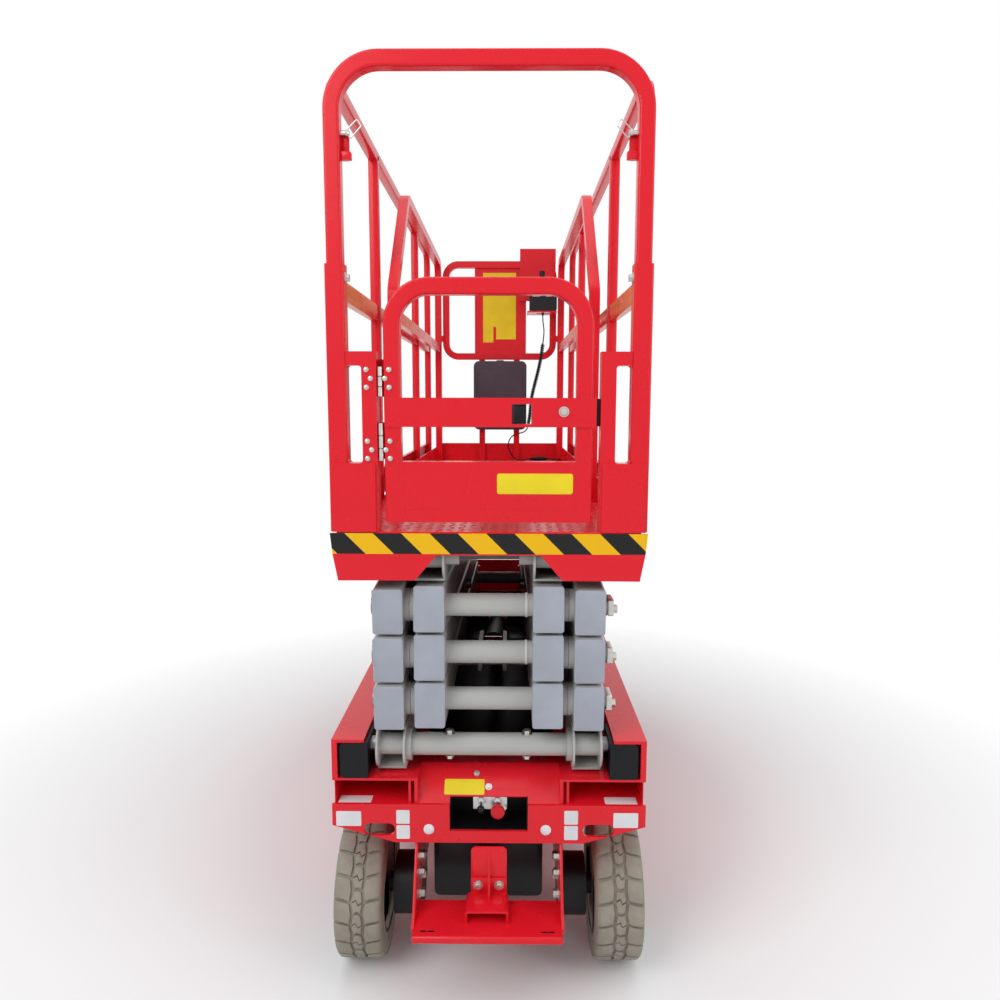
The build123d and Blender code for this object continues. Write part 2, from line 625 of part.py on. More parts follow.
# ---------------------------------------------------------------- wheels
TYRE_NEAR = TYRE_FAR - TYRE_WIDTH
WHEELS = [  # name, side, axle place
    ("rear_left", -1, REAR_AXLE_Y),
    ("rear_right", 1, REAR_AXLE_Y),
    ("front_left", -1, FRONT_AXLE_Y),
    ("front_right", 1, FRONT_AXLE_Y),
]
RIM_GAP = 0
for wheel_name, side, axle_y in WHEELS:
    axle_line = Axis((0, axle_y, AXLE_Z), (1, 0, 0))
    section_plane = Plane(origin=(0, axle_y, AXLE_Z), x_dir=(1, 0, 0), z_dir=(0, -1, 0))
    with BuildPart() as tyre:
        with BuildSketch(section_plane):
            with BuildLine():
                Polyline(
                    (side * TYRE_NEAR, RIM_RADIUS),
                    (side * TYRE_NEAR, TYRE_RADIUS - TYRE_SHOULDER),
                    (side * (TYRE_NEAR + TYRE_SHOULDER), TYRE_RADIUS),
                    (side * (TYRE_FAR - TYRE_SHOULDER), TYRE_RADIUS),
                    (side * TYRE_FAR, TYRE_RADIUS - TYRE_SHOULDER),
                    (side * TYRE_FAR, RIM_RADIUS),
                    close=True,
                )
            make_face()
        revolve(axis=axle_line)
    save(tyre, "tyre_" + wheel_name)
    with BuildPart() as rim:
        rim_near = TYRE_NEAR + 2
        rim_far = TYRE_FAR - 6
        disc_near = TYRE_FAR - 55
        with BuildSketch(section_plane):
            with BuildLine():
                Polyline(
                    (side * rim_near, RIM_RADIUS),
                    (side * rim_far, RIM_RADIUS),
                    (side * rim_far, RIM_RADIUS - 8),
                    (side * (disc_near + RIM_PLATE + 12), RIM_RADIUS - 14),
                    (side * (disc_near + RIM_PLATE), 60),
                    (side * (SPINDLE_FAR + 8), 50),
                    (side * (SPINDLE_FAR + 8), 0),
                    (side * (SPINDLE_FAR + SEAT_GAP), 0),
                    (side * (SPINDLE_FAR + SEAT_GAP), SPINDLE_RADIUS + PIN_CLEARANCE),
                    (side * (disc_near - 40), SPINDLE_RADIUS + PIN_CLEARANCE),
                    (side * (disc_near - 40), 45),
                    (side * disc_near, 60),
                    (side * disc_near, RIM_RADIUS - 16),
                    (side * rim_near, RIM_RADIUS - 8),
                    close=True,
                )
            make_face()
        revolve(axis=axle_line)
    save(rim, "rim_" + wheel_name)

# ---------------------------------------------------------------- fixed pivot brackets
EAR_PLATE = 10
EAR_HALF = 45
with BuildPart() as base_brackets:
    # ears either side of each first inner arm, with the pin between them
    for near in (INNER_ARM_NEAR - 2 - EAR_PLATE, BOSS_PLANE + BOSS_GAP):
        with BuildSketch(side_plane(near)):
            with BuildLine():
                Polyline(
                    (FRONT_PIN_Y - EAR_HALF, TRACK_FLOOR if near > FRAME_PLATE_NEAR else PAN_BOTTOM + PAN_PLATE),
                    (FRONT_PIN_Y - 30, BASE_PIVOT_Z),
                    (FRONT_PIN_Y + 30, BASE_PIVOT_Z),
                    (FRONT_PIN_Y + EAR_HALF, TRACK_FLOOR if near > FRAME_PLATE_NEAR else PAN_BOTTOM + PAN_PLATE),
                    close=True,
                )
            make_face()
            with Locations((FRONT_PIN_Y, BASE_PIVOT_Z)):
                Circle(38)
        extrude(amount=EAR_PLATE)
    with BuildSketch(side_plane(INNER_ARM_NEAR - 2 - EAR_PLATE)):
        with Locations((FRONT_PIN_Y, BASE_PIVOT_Z)):
            Circle(PIN_RADIUS)
    extrude(amount=BOSS_PLANE + BOSS_GAP + EAR_PLATE - INNER_ARM_NEAR + 2 + EAR_PLATE)
    mirror(about=Plane.YZ)
save(base_brackets, "base_brackets")

with BuildPart() as top_brackets:
    for near in (INNER_ARM_FAR + 2, OUTER_ARM_FAR + 2):
        with BuildSketch(side_plane(near)):
            with BuildLine():
                Polyline(
                    (FRONT_PIN_Y - EAR_HALF - 10, DECK_TOP - DECK_PLATE),
                    (FRONT_PIN_Y - 34, TOP_PIVOT_Z),
                    (FRONT_PIN_Y + 34, TOP_PIVOT_Z),
                    (FRONT_PIN_Y + EAR_HALF + 10, DECK_TOP - DECK_PLATE),
                    close=True,
                )
            make_face()
            with Locations((FRONT_PIN_Y, TOP_PIVOT_Z)):
                Circle(38)
                Circle(BORE_RADIUS, mode=Mode.SUBTRACT)
        extrude(amount=8)
    mirror(about=Plane.YZ)
save(top_brackets, "top_brackets")

# ---------------------------------------------------------------- lift cylinder
CYL_BASE_Y = FRONT_PIN_Y - CYL_BASE_REACH
CYL_BASE_Z = BASE_PIVOT_Z - CYL_BASE_DROP
eye_from_front = PIVOT_SPAN / 2 + CYL_EYE_OFFSET
CYL_EYE_Y = FRONT_PIN_Y - eye_from_front * cos(STOWED_ANGLE)
CYL_EYE_Z = BASE_PIVOT_Z + eye_from_front * sin(STOWED_ANGLE)
CYL_LENGTH = hypot(CYL_EYE_Y - CYL_BASE_Y, CYL_EYE_Z - CYL_BASE_Z)
cyl_side = Plane(
    origin=(0, CYL_BASE_Y, CYL_BASE_Z),
    x_dir=(0, (CYL_EYE_Y - CYL_BASE_Y) / CYL_LENGTH, (CYL_EYE_Z - CYL_BASE_Z) / CYL_LENGTH),
    z_dir=(1, 0, 0),
)
cyl_start = Plane(origin=cyl_side.origin, x_dir=(1, 0, 0), z_dir=cyl_side.x_dir)
BARREL_START = 85
BARREL_END = CYL_LENGTH - 75
with BuildPart() as barrel:
    with BuildSketch(cyl_start.offset(BARREL_START)):
        Circle(BARREL_RADIUS)
    extrude(amount=BARREL_END - BARREL_START)
    with BuildSketch(cyl_side.offset(-EYE_WIDTH / 2)):
        Circle(EYE_RADIUS)
        span(0, BARREL_START + 1, -EYE_RADIUS, EYE_RADIUS)
    extrude(amount=EYE_WIDTH)
    with BuildSketch(cyl_side.offset(-EYE_WIDTH / 2)):
        Circle(PIN_RADIUS + PIN_CLEARANCE)
    extrude(amount=EYE_WIDTH, mode=Mode.SUBTRACT)
    # bore of the barrel, open at the gland
    with BuildSketch(cyl_start.offset(BARREL_START + 5)):
        Circle(ROD_RADIUS + PIN_CLEARANCE)
    extrude(amount=BARREL_END - BARREL_START - 5, mode=Mode.SUBTRACT)
save(barrel, "cylinder_barrel")

with BuildPart() as rod:
    with BuildSketch(cyl_start.offset(100)):
        Circle(ROD_RADIUS)
    extrude(amount=CYL_LENGTH - 100)
    with BuildSketch(cyl_side.offset(-EYE_WIDTH / 2)):
        with Locations((CYL_LENGTH, 0)):
            Circle(EYE_RADIUS)
    extrude(amount=EYE_WIDTH)
save(rod, "cylinder_rod")

with BuildPart() as cylinder_mount:
    for side in (-1, 1):
        lug_near = EYE_WIDTH / 2 + LUG_GAP
        lug_start = lug_near if side > 0 else -lug_near - LUG_PLATE
        with BuildSketch(side_plane(lug_start)):
            with BuildLine():
                Polyline(
                    (CYL_BASE_Y - 60, PAN_BOTTOM + PAN_PLATE),
                    (CYL_BASE_Y - 28, CYL_BASE_Z),
                    (CYL_BASE_Y + 28, CYL_BASE_Z),
                    (CYL_BASE_Y + 60, PAN_BOTTOM + PAN_PLATE),
                    close=True,
                )
            make_face()
            with Locations((CYL_BASE_Y, CYL_BASE_Z)):
                Circle(32)
        extrude(amount=LUG_PLATE)
    with BuildSketch(side_plane(-EYE_WIDTH / 2 - LUG_GAP)):
        with Locations((CYL_BASE_Y, CYL_BASE_Z)):
            Circle(PIN_RADIUS)
    extrude(amount=EYE_WIDTH + 2 * LUG_GAP)
save(cylinder_mount, "cylinder_mount")

# ---------------------------------------------------------------- platform deck and side beams
with BuildPart() as platform_deck:
    with BuildSketch(cross_plane(REAR + SKIRT_PLATE)):
        span(SIDE_BEAM_FAR - SIDE_BEAM_WEB, SIDE_BEAM_FAR, SKIRT_BOTTOM + 1, DECK_TOP)
        track_half = UPPER_BLOCK_HEIGHT / 2
        span(
            UPPER_BLOCK_NEAR - 3,
            SIDE_BEAM_FAR,
            TOP_PIVOT_Z - track_half - SIDE_BEAM_FLANGE,
            TOP_PIVOT_Z - track_half,
        )
        span(
            UPPER_BLOCK_NEAR - 3,
            SIDE_BEAM_FAR,
            TOP_PIVOT_Z + track_half,
            TOP_PIVOT_Z + track_half + SIDE_BEAM_FLANGE,
        )
        span(0, SIDE_BEAM_FAR, DECK_TOP - DECK_PLATE, DECK_TOP)
        mirror(about=Plane.YZ)
    extrude(amount=REAR + SKIRT_PLATE - FRONT + 20)
save(platform_deck, "platform_deck")

with BuildPart() as rear_skirt:
    with BuildSketch(cross_plane(REAR)):
        with BuildLine():
            Polyline(
                (0, 1178),
                (127, 1178),
                (181, 1115),
                (370, SKIRT_BOTTOM),
                (382.5, SKIRT_BEND),
                (PLATFORM_HALF_WIDTH, SKIRT_TOP),
                (0, SKIRT_TOP),
                close=True,
            )
        make_face()
        mirror(about=Plane.YZ)
    extrude(amount=-SKIRT_PLATE)
save(rear_skirt, "rear_skirt")

# ---------------------------------------------------------------- rear frame
POST_NEAR = POST_CENTRE - SOCKET_TUBE / 2
POST_FAR = POST_CENTRE + SOCKET_TUBE / 2
POST_REAR = REAR + 6
with BuildPart() as rear_frame:
    with BuildSketch(Plane.XY.offset(DECK_TOP)):
        with Locations((POST_CENTRE, POST_REAR + SOCKET_TUBE / 2)):
            RectangleRounded(SOCKET_TUBE, SOCKET_TUBE, 6)
    extrude(amount=SOCKET_TOP - DECK_TOP)
    with BuildSketch(Plane.XY.offset(SOCKET_TOP - 380)):
        with Locations((POST_CENTRE, POST_REAR + SOCKET_TUBE / 2)):
            Rectangle(RAIL_TUBE + 0.4, RAIL_TUBE + 0.4)
    extrude(amount=380, mode=Mode.SUBTRACT)
    with BuildSketch(cross_plane(POST_REAR)):
        span(PANEL_POST_NEAR, POST_NEAR, DECK_TOP, PANEL_TOP)
        with Locations(((PANEL_POST_NEAR + PANEL_POST_WIDTH + POST_NEAR) / 2, (PANEL_PLATE_TOP + PANEL_TOP - PANEL_BAR) / 2)):
            RectangleRounded(
                POST_NEAR - PANEL_POST_NEAR - PANEL_POST_WIDTH,
                PANEL_TOP - PANEL_BAR - PANEL_PLATE_TOP,
                8,
                mode=Mode.SUBTRACT,
            )
    extrude(amount=-RAIL_TUBE)
    slab((274, 380), (REAR, POST_REAR), (DECK_TOP, PANEL_PLATE_TOP))
    mirror(about=Plane.YZ)
    # fixed leaves and pins of the two gate hinges
    post_front = POST_REAR + RAIL_TUBE
    for low_z, high_z in GATE_HINGES:
        slab((-PANEL_POST_NEAR - 32, HINGE_X - 4), (post_front, post_front + HINGE_LEAF), (low_z, high_z))
        with BuildSketch(Plane.XY.offset(low_z)):
            with Locations((HINGE_X, HINGE_Y)):
                Circle(HINGE_PIN)
        extrude(amount=high_z - low_z)
        knuckle_height = (high_z - low_z) / 3
        with BuildSketch(Plane.XY.offset(low_z + knuckle_height)):
            with Locations((HINGE_X, HINGE_Y)):
                Circle(HINGE_RADIUS)
        extrude(amount=knuckle_height)
        for clear_z in (low_z, low_z + 2 * knuckle_height):
            with BuildSketch(Plane.XY.offset(clear_z)):
                with Locations((HINGE_X, HINGE_Y)):
                    Circle(HINGE_RADIUS + 1)
                    Circle(HINGE_PIN, mode=Mode.SUBTRACT)
            extrude(amount=knuckle_height, mode=Mode.SUBTRACT)
save(rear_frame, "rear_frame")

with BuildPart() as rear_rail:
    rail_plane = cross_plane(POST_REAR + SOCKET_TUBE / 2)
    foot_z = SOCKET_TOP - 378
    top_z = REAR_RAIL_TOP - RAIL_TUBE / 2
    with BuildLine(rail_plane) as rail_path:
        FilletPolyline(
            (-POST_CENTRE, foot_z),
            (-POST_CENTRE, top_z),
            (POST_CENTRE, top_z),
            (POST_CENTRE, foot_z),
            radius=REAR_RAIL_CORNER,
        )
    with BuildSketch(Plane(origin=rail_path.line @ 0, x_dir=(1, 0, 0), z_dir=(0, 0, 1))):
        RectangleRounded(RAIL_TUBE, RAIL_TUBE, 6)
    sweep(path=rail_path.line)
save(rear_rail, "rear_rail")

# ---------------------------------------------------------------- side guard rails
with BuildPart() as side_rails:
    tube_x = PLATFORM_HALF_WIDTH - SIDE_TUBE / 2
    with BuildLine(side_plane(tube_x)) as side_path:
        FilletPolyline(
            (REAR + SOCKET_TUBE + 6, SIDE_RAIL_TOP - SIDE_TUBE / 2),
            (FRONT - 20 - SIDE_TUBE / 2, SIDE_RAIL_TOP - SIDE_TUBE / 2),
            (FRONT - 20 - SIDE_TUBE / 2, DECK_TOP),
            radius=SIDE_RAIL_CORNER,
        )
    with BuildSketch(cross_plane(REAR + SOCKET_TUBE + 6)):
        with Locations((tube_x, SIDE_RAIL_TOP - SIDE_TUBE / 2)):
            Rectangle(SIDE_TUBE, SIDE_TUBE)
    sweep(path=side_path.line)
    for post_y in (REAR + 75, REAR + 645, REAR + 1700):
        slab(
            (PLATFORM_HALF_WIDTH - SIDE_TUBE, PLATFORM_HALF_WIDTH),
            (post_y - SIDE_TUBE / 2, post_y + SIDE_TUBE / 2),
            (DECK_TOP, SIDE_RAIL_TOP - SIDE_TUBE / 2),
        )
    slab(
        (PLATFORM_HALF_WIDTH - SIDE_TUBE + 4, PLATFORM_HALF_WIDTH),
        (REAR + 75, FRONT - 20 - SIDE_TUBE / 2),
        (MID_RAIL_TOP - MID_RAIL_HEIGHT, MID_RAIL_TOP),
    )
    slab(
        (PLATFORM_HALF_WIDTH - TOE_PLATE, PLATFORM_HALF_WIDTH),
        (REAR + 60, FRONT - 20),
        (DECK_TOP, TOE_TOP),
    )
    mirror(about=Plane.YZ)
save(side_rails, "side_rails")

# ---------------------------------------------------------------- gate
GATE_REAR = REAR + GATE_SETBACK
with BuildPart() as gate:
    gate_plane = cross_plane(GATE_REAR + GATE_TUBE / 2)
    with BuildLine(gate_plane) as gate_path:
        FilletPolyline(
            (GATE_NEAR_EDGE + GATE_TUBE / 2, GATE_BOTTOM),
            (GATE_NEAR_EDGE + GATE_TUBE / 2, GATE_TOP - GATE_TUBE / 2),
            (GATE_FAR_EDGE - GATE_TUBE / 2, GATE_TOP - GATE_TUBE / 2),
            (GATE_FAR_EDGE - GATE_TUBE / 2, GATE_BOTTOM),
            radius=GATE_CORNER,
        )
    with BuildSketch(Plane(origin=gate_path.line @ 0, x_dir=(1, 0, 0), z_dir=(0, 0, 1))):
        RectangleRounded(GATE_TUBE, GATE_TUBE, 6)
    sweep(path=gate_path.line)
    slab(
        (GATE_NEAR_EDGE + GATE_TUBE / 2, GATE_FAR_EDGE - GATE_TUBE / 2),
        (GATE_REAR + 2, GATE_REAR + GATE_TUBE - 4),
        (GATE_BOTTOM, GATE_PANEL_TOP),
    )
    with BuildSketch(cross_plane(GATE_REAR - 4)):
        span(GATE_NEAR_EDGE + 2, GATE_FAR_EDGE + 8, GATE_RAIL_BOTTOM, GATE_RAIL_TOP)
        span(55, 103, 1497, 1545, mode=Mode.SUBTRACT)
    extrude(amount=-(GATE_TUBE + 4))
    # swinging leaves and knuckles
    gate_front = GATE_REAR + GATE_TUBE
    for low_z, high_z in GATE_HINGES:
        slab((HINGE_X + 2, GATE_NEAR_EDGE + 30), (gate_front, gate_front + HINGE_LEAF), (low_z, high_z))
        knuckle_height = (high_z - low_z) / 3
        for knuckle_z in (low_z, low_z + 2 * knuckle_height):
            with BuildSketch(Plane.XY.offset(knuckle_z + SEAT_GAP)):
                with Locations((HINGE_X, HINGE_Y)):
                    Circle(HINGE_RADIUS)
            extrude(amount=knuckle_height - 2 * SEAT_GAP)
        with BuildSketch(Plane.XY.offset(low_z + knuckle_height - SEAT_GAP)):
            with Locations((HINGE_X, HINGE_Y)):
                Circle(HINGE_RADIUS + 1)
        extrude(amount=knuckle_height + 2 * SEAT_GAP, mode=Mode.SUBTRACT)
        with BuildSketch(Plane.XY.offset(low_z)):
            with Locations((HINGE_X, HINGE_Y)):
                Circle(HINGE_PIN + PIN_CLEARANCE)
        extrude(amount=high_z - low_z, mode=Mode.SUBTRACT)
save(gate, "gate")

# ---------------------------------------------------------------- extension deck
EXT_REAR = REAR + EXT_DECK_SETBACK
with BuildPart() as extension_deck:
    slab((-EXT_FAR, EXT_FAR), (EXT_REAR, FRONT - 8), (EXT_DECK_BOTTOM, EXT_DECK_TOP))
    slab((-EXT_FAR, EXT_FAR), (FRONT - 12, FRONT - 8), (EXT_DECK_BOTTOM, TOE_TOP))
    slab((EXT_FAR - 4, EXT_FAR), (EXT_REAR, FRONT - 8), (EXT_DECK_BOTTOM, TOE_TOP - 20))
    slab((-EXT_FAR, 4 - EXT_FAR), (EXT_REAR, FRONT - 8), (EXT_DECK_BOTTOM, TOE_TOP - 20))
    # gland of the control box's lead, inside the right toe board
    with BuildSketch(side_plane(EXT_FAR - TOE_PLATE - LEAD_GLAND_LENGTH)):
        with Locations((LEAD_GLAND_Y, CONNECTOR_CENTRE_Z)):
            Circle(LEAD_GLAND_RADIUS)
    extrude(amount=LEAD_GLAND_LENGTH)
save(extension_deck, "extension_deck")

with BuildPart() as extension_rails:
    ext_x = EXT_FAR - EXT_TUBE / 2 - 4
    leg_y = REAR + EXT_LEG_SETBACK
    with BuildLine(side_plane(ext_x)) as ext_path:
        FilletPolyline(
            (leg_y, EXT_DECK_TOP),
            (leg_y, EXT_LEG_KNEE),
            (REAR + EXT_REAR_SETBACK, EXT_RAIL_TOP - EXT_TUBE / 2),
            (FRONT - 60, EXT_RAIL_TOP - EXT_TUBE / 2),
            (FRONT - 60, EXT_DECK_TOP),
            radius=50,
        )
    with BuildSketch(Plane(origin=ext_path.line @ 0, x_dir=(1, 0, 0), z_dir=(0, 0, 1))):
        Rectangle(EXT_TUBE, EXT_TUBE)
    sweep(path=ext_path.line)
    slab(
        (ext_x - 10, ext_x + 10),
        (leg_y, FRONT - 60),
        (MID_RAIL_TOP - MID_RAIL_HEIGHT, MID_RAIL_TOP - 10),
    )
    mirror(about=Plane.YZ)
save(extension_rails, "extension_rails")

with BuildPart() as front_rail:
    frame_y = FRONT - 10 - FRONT_TUBE / 2
    with BuildSketch(cross_plane(frame_y - FRONT_TUBE / 2)) as loop:
        with Locations((0, (FRONT_FRAME_BOTTOM + EXT_RAIL_TOP) / 2)):
            RectangleRounded(2 * FRONT_FRAME_HALF, EXT_RAIL_TOP - FRONT_FRAME_BOTTOM, FRONT_CORNER)
            RectangleRounded(
                2 * FRONT_FRAME_HALF - 2 * FRONT_TUBE,
                EXT_RAIL_TOP - FRONT_FRAME_BOTTOM - 2 * FRONT_TUBE,
                FRONT_CORNER - FRONT_TUBE,
                mode=Mode.SUBTRACT,
            )
    extrude(amount=-FRONT_TUBE)
    slab((-128, 137), (frame_y - 2, frame_y + 2), (FRONT_FRAME_BOTTOM + 20, EXT_RAIL_TOP - 10))
    for post_x in (-90, 90):
        slab(
            (post_x - 15, post_x + 15),
            (frame_y - 8, frame_y + 8),
            (EXT_DECK_BOTTOM + EXT_DECK_PLATE, FRONT_FRAME_BOTTOM + 2),
        )
    for side in (-1, 1):
        low, high = sorted((side * (FRONT_FRAME_HALF - 2), side * (EXT_FAR - EXT_TUBE - 4)))
        for z in (FRONT_FRAME_BOTTOM + 90, EXT_RAIL_TOP - 140):
            slab((low, high), (frame_y - 45, frame_y + 10), (z, z + 30))
save(front_rail, "front_rail")

# The control box stands on a tray plate; its cable leaves through a tapered gland underneath,
# which hangs in an oval hole of the plate.
CONTROL_NEAR, CONTROL_FAR = 152, 286
CONTROL_BOTTOM, CONTROL_TOP = 1995, 2122
CONTROL_DEPTH = 120
CONTROL_BACK_GAP = 40
CONTROL_CORNER = 12
CONTROL_PLATE = 6
GLAND_ROOT_RADIUS = 9
GLAND_TIP_RADIUS = 5
GLAND_LENGTH = 15
GLAND_HOLE = (70, 30)
CONTROL_MIDDLE = (CONTROL_NEAR + CONTROL_FAR) / 2
CONTROL_FRONT_Y = frame_y - CONTROL_BACK_GAP
CONTROL_REAR_Y = CONTROL_FRONT_Y - CONTROL_DEPTH
GLAND_Y = CONTROL_REAR_Y + 61.5
with BuildPart() as control_box:
    with BuildSketch(cross_plane(CONTROL_REAR_Y)) as box_face:
        span(CONTROL_NEAR, CONTROL_FAR, CONTROL_BOTTOM, CONTROL_TOP)
        fillet(box_face.vertices().group_by(Axis.Z)[-1], CONTROL_CORNER)
    extrude(amount=-CONTROL_DEPTH)
    gland_root = Plane(origin=(CONTROL_MIDDLE, GLAND_Y, CONTROL_BOTTOM), x_dir=(1, 0, 0), z_dir=(0, 0, -1))
    with BuildSketch(gland_root):
        Circle(GLAND_ROOT_RADIUS)
    with BuildSketch(gland_root.offset(GLAND_LENGTH)):
        Circle(GLAND_TIP_RADIUS)
    loft()
save(control_box, "control_box")

with BuildPart() as control_bracket:
    back_plate_y = frame_y - FRONT_TUBE / 2
    slab((104, CONTROL_FAR), (back_plate_y - CONTROL_PLATE, back_plate_y), (2060, 2320))
    slab((140, CONTROL_FAR), (CONTROL_REAR_Y - 5, back_plate_y), (CONTROL_BOTTOM - CONTROL_PLATE, CONTROL_BOTTOM))
    slab((CONTROL_NEAR, CONTROL_FAR), (CONTROL_FRONT_Y, back_plate_y), (CONTROL_BOTTOM, 2060))
    with BuildSketch(Plane.XY.offset(CONTROL_BOTTOM - CONTROL_PLATE)):
        with Locations((CONTROL_MIDDLE, GLAND_Y)):
            SlotOverall(*GLAND_HOLE)
    extrude(amount=CONTROL_PLATE, mode=Mode.SUBTRACT)
save(control_bracket, "control_bracket")

with BuildPart() as document_box:
    slab((-132, 140), (frame_y - 70, frame_y - 8), (1404, 1759))
save(document_box, "document_box")

# ---------------------------------------------------------------- control cable
# It hangs from the gland, runs down as a curly cord, and ends in a connector lying on the extension
# deck. A stiffer lead goes from the connector to a gland on the inside of the right toe board.
CABLE_DIAMETER = 5
COIL_DIAMETER = 16
LEAD_DIAMETER = 6
CONNECTOR_GRIP_RADIUS = 8.5
CONNECTOR_START = Vector(158, 1152, CONNECTOR_CENTRE_Z)
CONNECTOR_END = Vector(250, 1158, CONNECTOR_CENTRE_Z)
CONNECTOR_LINE = (CONNECTOR_END - CONNECTOR_START).normalized()
LEAD_GLAND_X = EXT_FAR - TOE_PLATE - LEAD_GLAND_LENGTH
CORD_TURN_SHARE = 0.45
CABLE_TOP = [
    (CONTROL_MIDDLE, GLAND_Y, CONTROL_BOTTOM - GLAND_LENGTH),
    (CONTROL_MIDDLE, GLAND_Y, 1950),
    (227, GLAND_Y, 1909),
    (224.1, GLAND_Y, 1870.1),
    (221, GLAND_Y, 1843),
]
CABLE_COIL = [
    CABLE_TOP[-1],
    (213, GLAND_Y, 1773),
    (197, GLAND_Y, 1698),
    (176, GLAND_Y, 1618),
    (163, GLAND_Y, 1557),
    (158, GLAND_Y, 1481),
    (148, GLAND_Y, 1429),
]
CABLE_TAIL = [
    CABLE_COIL[-1],
    (144, GLAND_Y, 1408.2),
    (128, GLAND_Y + 1, 1393),
    (104, GLAND_Y + 2, 1387),
    (76, GLAND_Y + 4, 1380),
    (54, GLAND_Y + 8, 1359),
    (46, GLAND_Y + 14, 1330),
    (51, GLAND_Y + 22, 1298),
    (66, GLAND_Y + 32, 1269),
    (88, GLAND_Y + 44, 1249),
    (115, GLAND_Y + 54, 1243.5),
    CONNECTOR_START - CONNECTOR_LINE * 18,
    CONNECTOR_START,
]
DECK_LEAD = [
    CONNECTOR_END,
    CONNECTOR_END + CONNECTOR_LINE * 14.2,
    (277.7, 1153.7, CONNECTOR_CENTRE_Z),
    (296.5, 1134.3, CONNECTOR_CENTRE_Z),
    (309.6, LEAD_GLAND_Y, CONNECTOR_CENTRE_Z),
    (LEAD_GLAND_X, LEAD_GLAND_Y, CONNECTOR_CENTRE_Z),
]
CORDS = [  # node, section diameter, route
    ("control_cable_top", CABLE_DIAMETER, CABLE_TOP),
    ("control_cable_coil", COIL_DIAMETER, CABLE_COIL),
    ("control_cable_tail", CABLE_DIAMETER, CABLE_TAIL),
    ("deck_cable", LEAD_DIAMETER, DECK_LEAD),
]
for cord_name, diameter, route in CORDS:
    points = [Vector(point) for point in route]
    runs = [after - before for before, after in zip(points, points[1:])]
    radii = []
    for run_in, run_out in zip(runs, runs[1:]):
        half_turn = radians(run_in.get_angle(run_out)) / 2
        radii.append(CORD_TURN_SHARE * min(run_in.length, run_out.length) / tan(half_turn))
    with BuildPart() as cord:
        with BuildLine() as cord_line:
            FilletPolyline(*points, radius=radii)
        with BuildSketch(Plane(origin=points[0], z_dir=runs[0])):
            Circle(diameter / 2)
        sweep(path=cord_line.line)
    cord_length = cord_line.wire().length
    tube_volume = pi * diameter**2 / 4 * cord_length
    print(cord_name, "radii", [round(radius) for radius in radii], "smallest in diameters",
          round(min(radii) / diameter, 1), "length", round(cord_length, 1),
          "volume share", round(cord.part.volume / tube_volume, 4))
    save(cord, cord_name)

# the connector: two grips with a coupling ring between them
with BuildPart() as connector:
    body_length = (CONNECTOR_END - CONNECTOR_START).length
    RING_START, RING_END = 0.42, 0.68
    across = CONNECTOR_LINE.cross(Vector(0, 0, 1))
    with BuildSketch(Plane(origin=CONNECTOR_START, x_dir=CONNECTOR_LINE, z_dir=across)):
        with BuildLine():
            Polyline(
                (0, 0),
                (0, 5),
                (14, CONNECTOR_GRIP_RADIUS),
                (RING_START * body_length, CONNECTOR_GRIP_RADIUS),
                (RING_START * body_length, CONNECTOR_RADIUS),
                (RING_END * body_length, CONNECTOR_RADIUS),
                (RING_END * body_length, CONNECTOR_GRIP_RADIUS),
                (body_length - 10, CONNECTOR_GRIP_RADIUS),
                (body_length, 6),
                (body_length, 0),
                close=True,
            )
        make_face()
    revolve(axis=Axis(CONNECTOR_START, CONNECTOR_LINE))
save(connector, "cable_connector")

# ---------------------------------------------------------------- side trays
TRAY_SPAN = (REAR + TRAY_REAR_SETBACK, REAR + TRAY_FRONT_SETBACK)
for label, side in (("left", -1), ("right", 1)):
    low, high = sorted((side * TRAY_NEAR, side * CHASSIS_HALF_WIDTH))
    with BuildPart() as tray:
        slab((low, high), TRAY_SPAN, (TRAY_BOTTOM, TRAY_TOP))
        slab(
            (low + TRAY_WALL, high - TRAY_WALL),
            (TRAY_SPAN[0] + TRAY_WALL, TRAY_SPAN[1] - TRAY_WALL),
            (TRAY_BOTTOM + TRAY_WALL, TRAY_TOP + 1),
            mode=Mode.SUBTRACT,
        )
        for lug_z in (TRAY_BOTTOM + 45, TRAY_TOP - 60):
            with BuildSketch(Plane.XY.offset(lug_z)):
                with Locations((side * TRAY_PIN_X, TRAY_PIN_Y)):
                    Circle(TRAY_LUG)
                with Locations((side * TRAY_PIN_X, TRAY_PIN_Y - TRAY_PIN_SETBACK / 2)):
                    Rectangle(2 * TRAY_LUG, TRAY_PIN_SETBACK)
                with Locations((side * TRAY_PIN_X, TRAY_PIN_Y)):
                    Circle(TRAY_PIN_RADIUS + PIN_CLEARANCE, mode=Mode.SUBTRACT)
            extrude(amount=TRAY_LUG)
    save(tray, "tray_" + label)

with BuildPart() as batteries:
    slab((TRAY_NEAR + 10, CHASSIS_HALF_WIDTH - 10), (REAR + 520, REAR + 1500), (TRAY_BOTTOM + TRAY_WALL, 490))
save(batteries, "batteries")

with BuildPart() as power_unit:
    slab((-CHASSIS_HALF_WIDTH + 10, -TRAY_NEAR - 10), (REAR + 560, REAR + 1250), (TRAY_BOTTOM + TRAY_WALL, 500))
save(power_unit, "power_unit")
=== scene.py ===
import json
import math

import bmesh
import bpy
from mathutils import Matrix, Vector


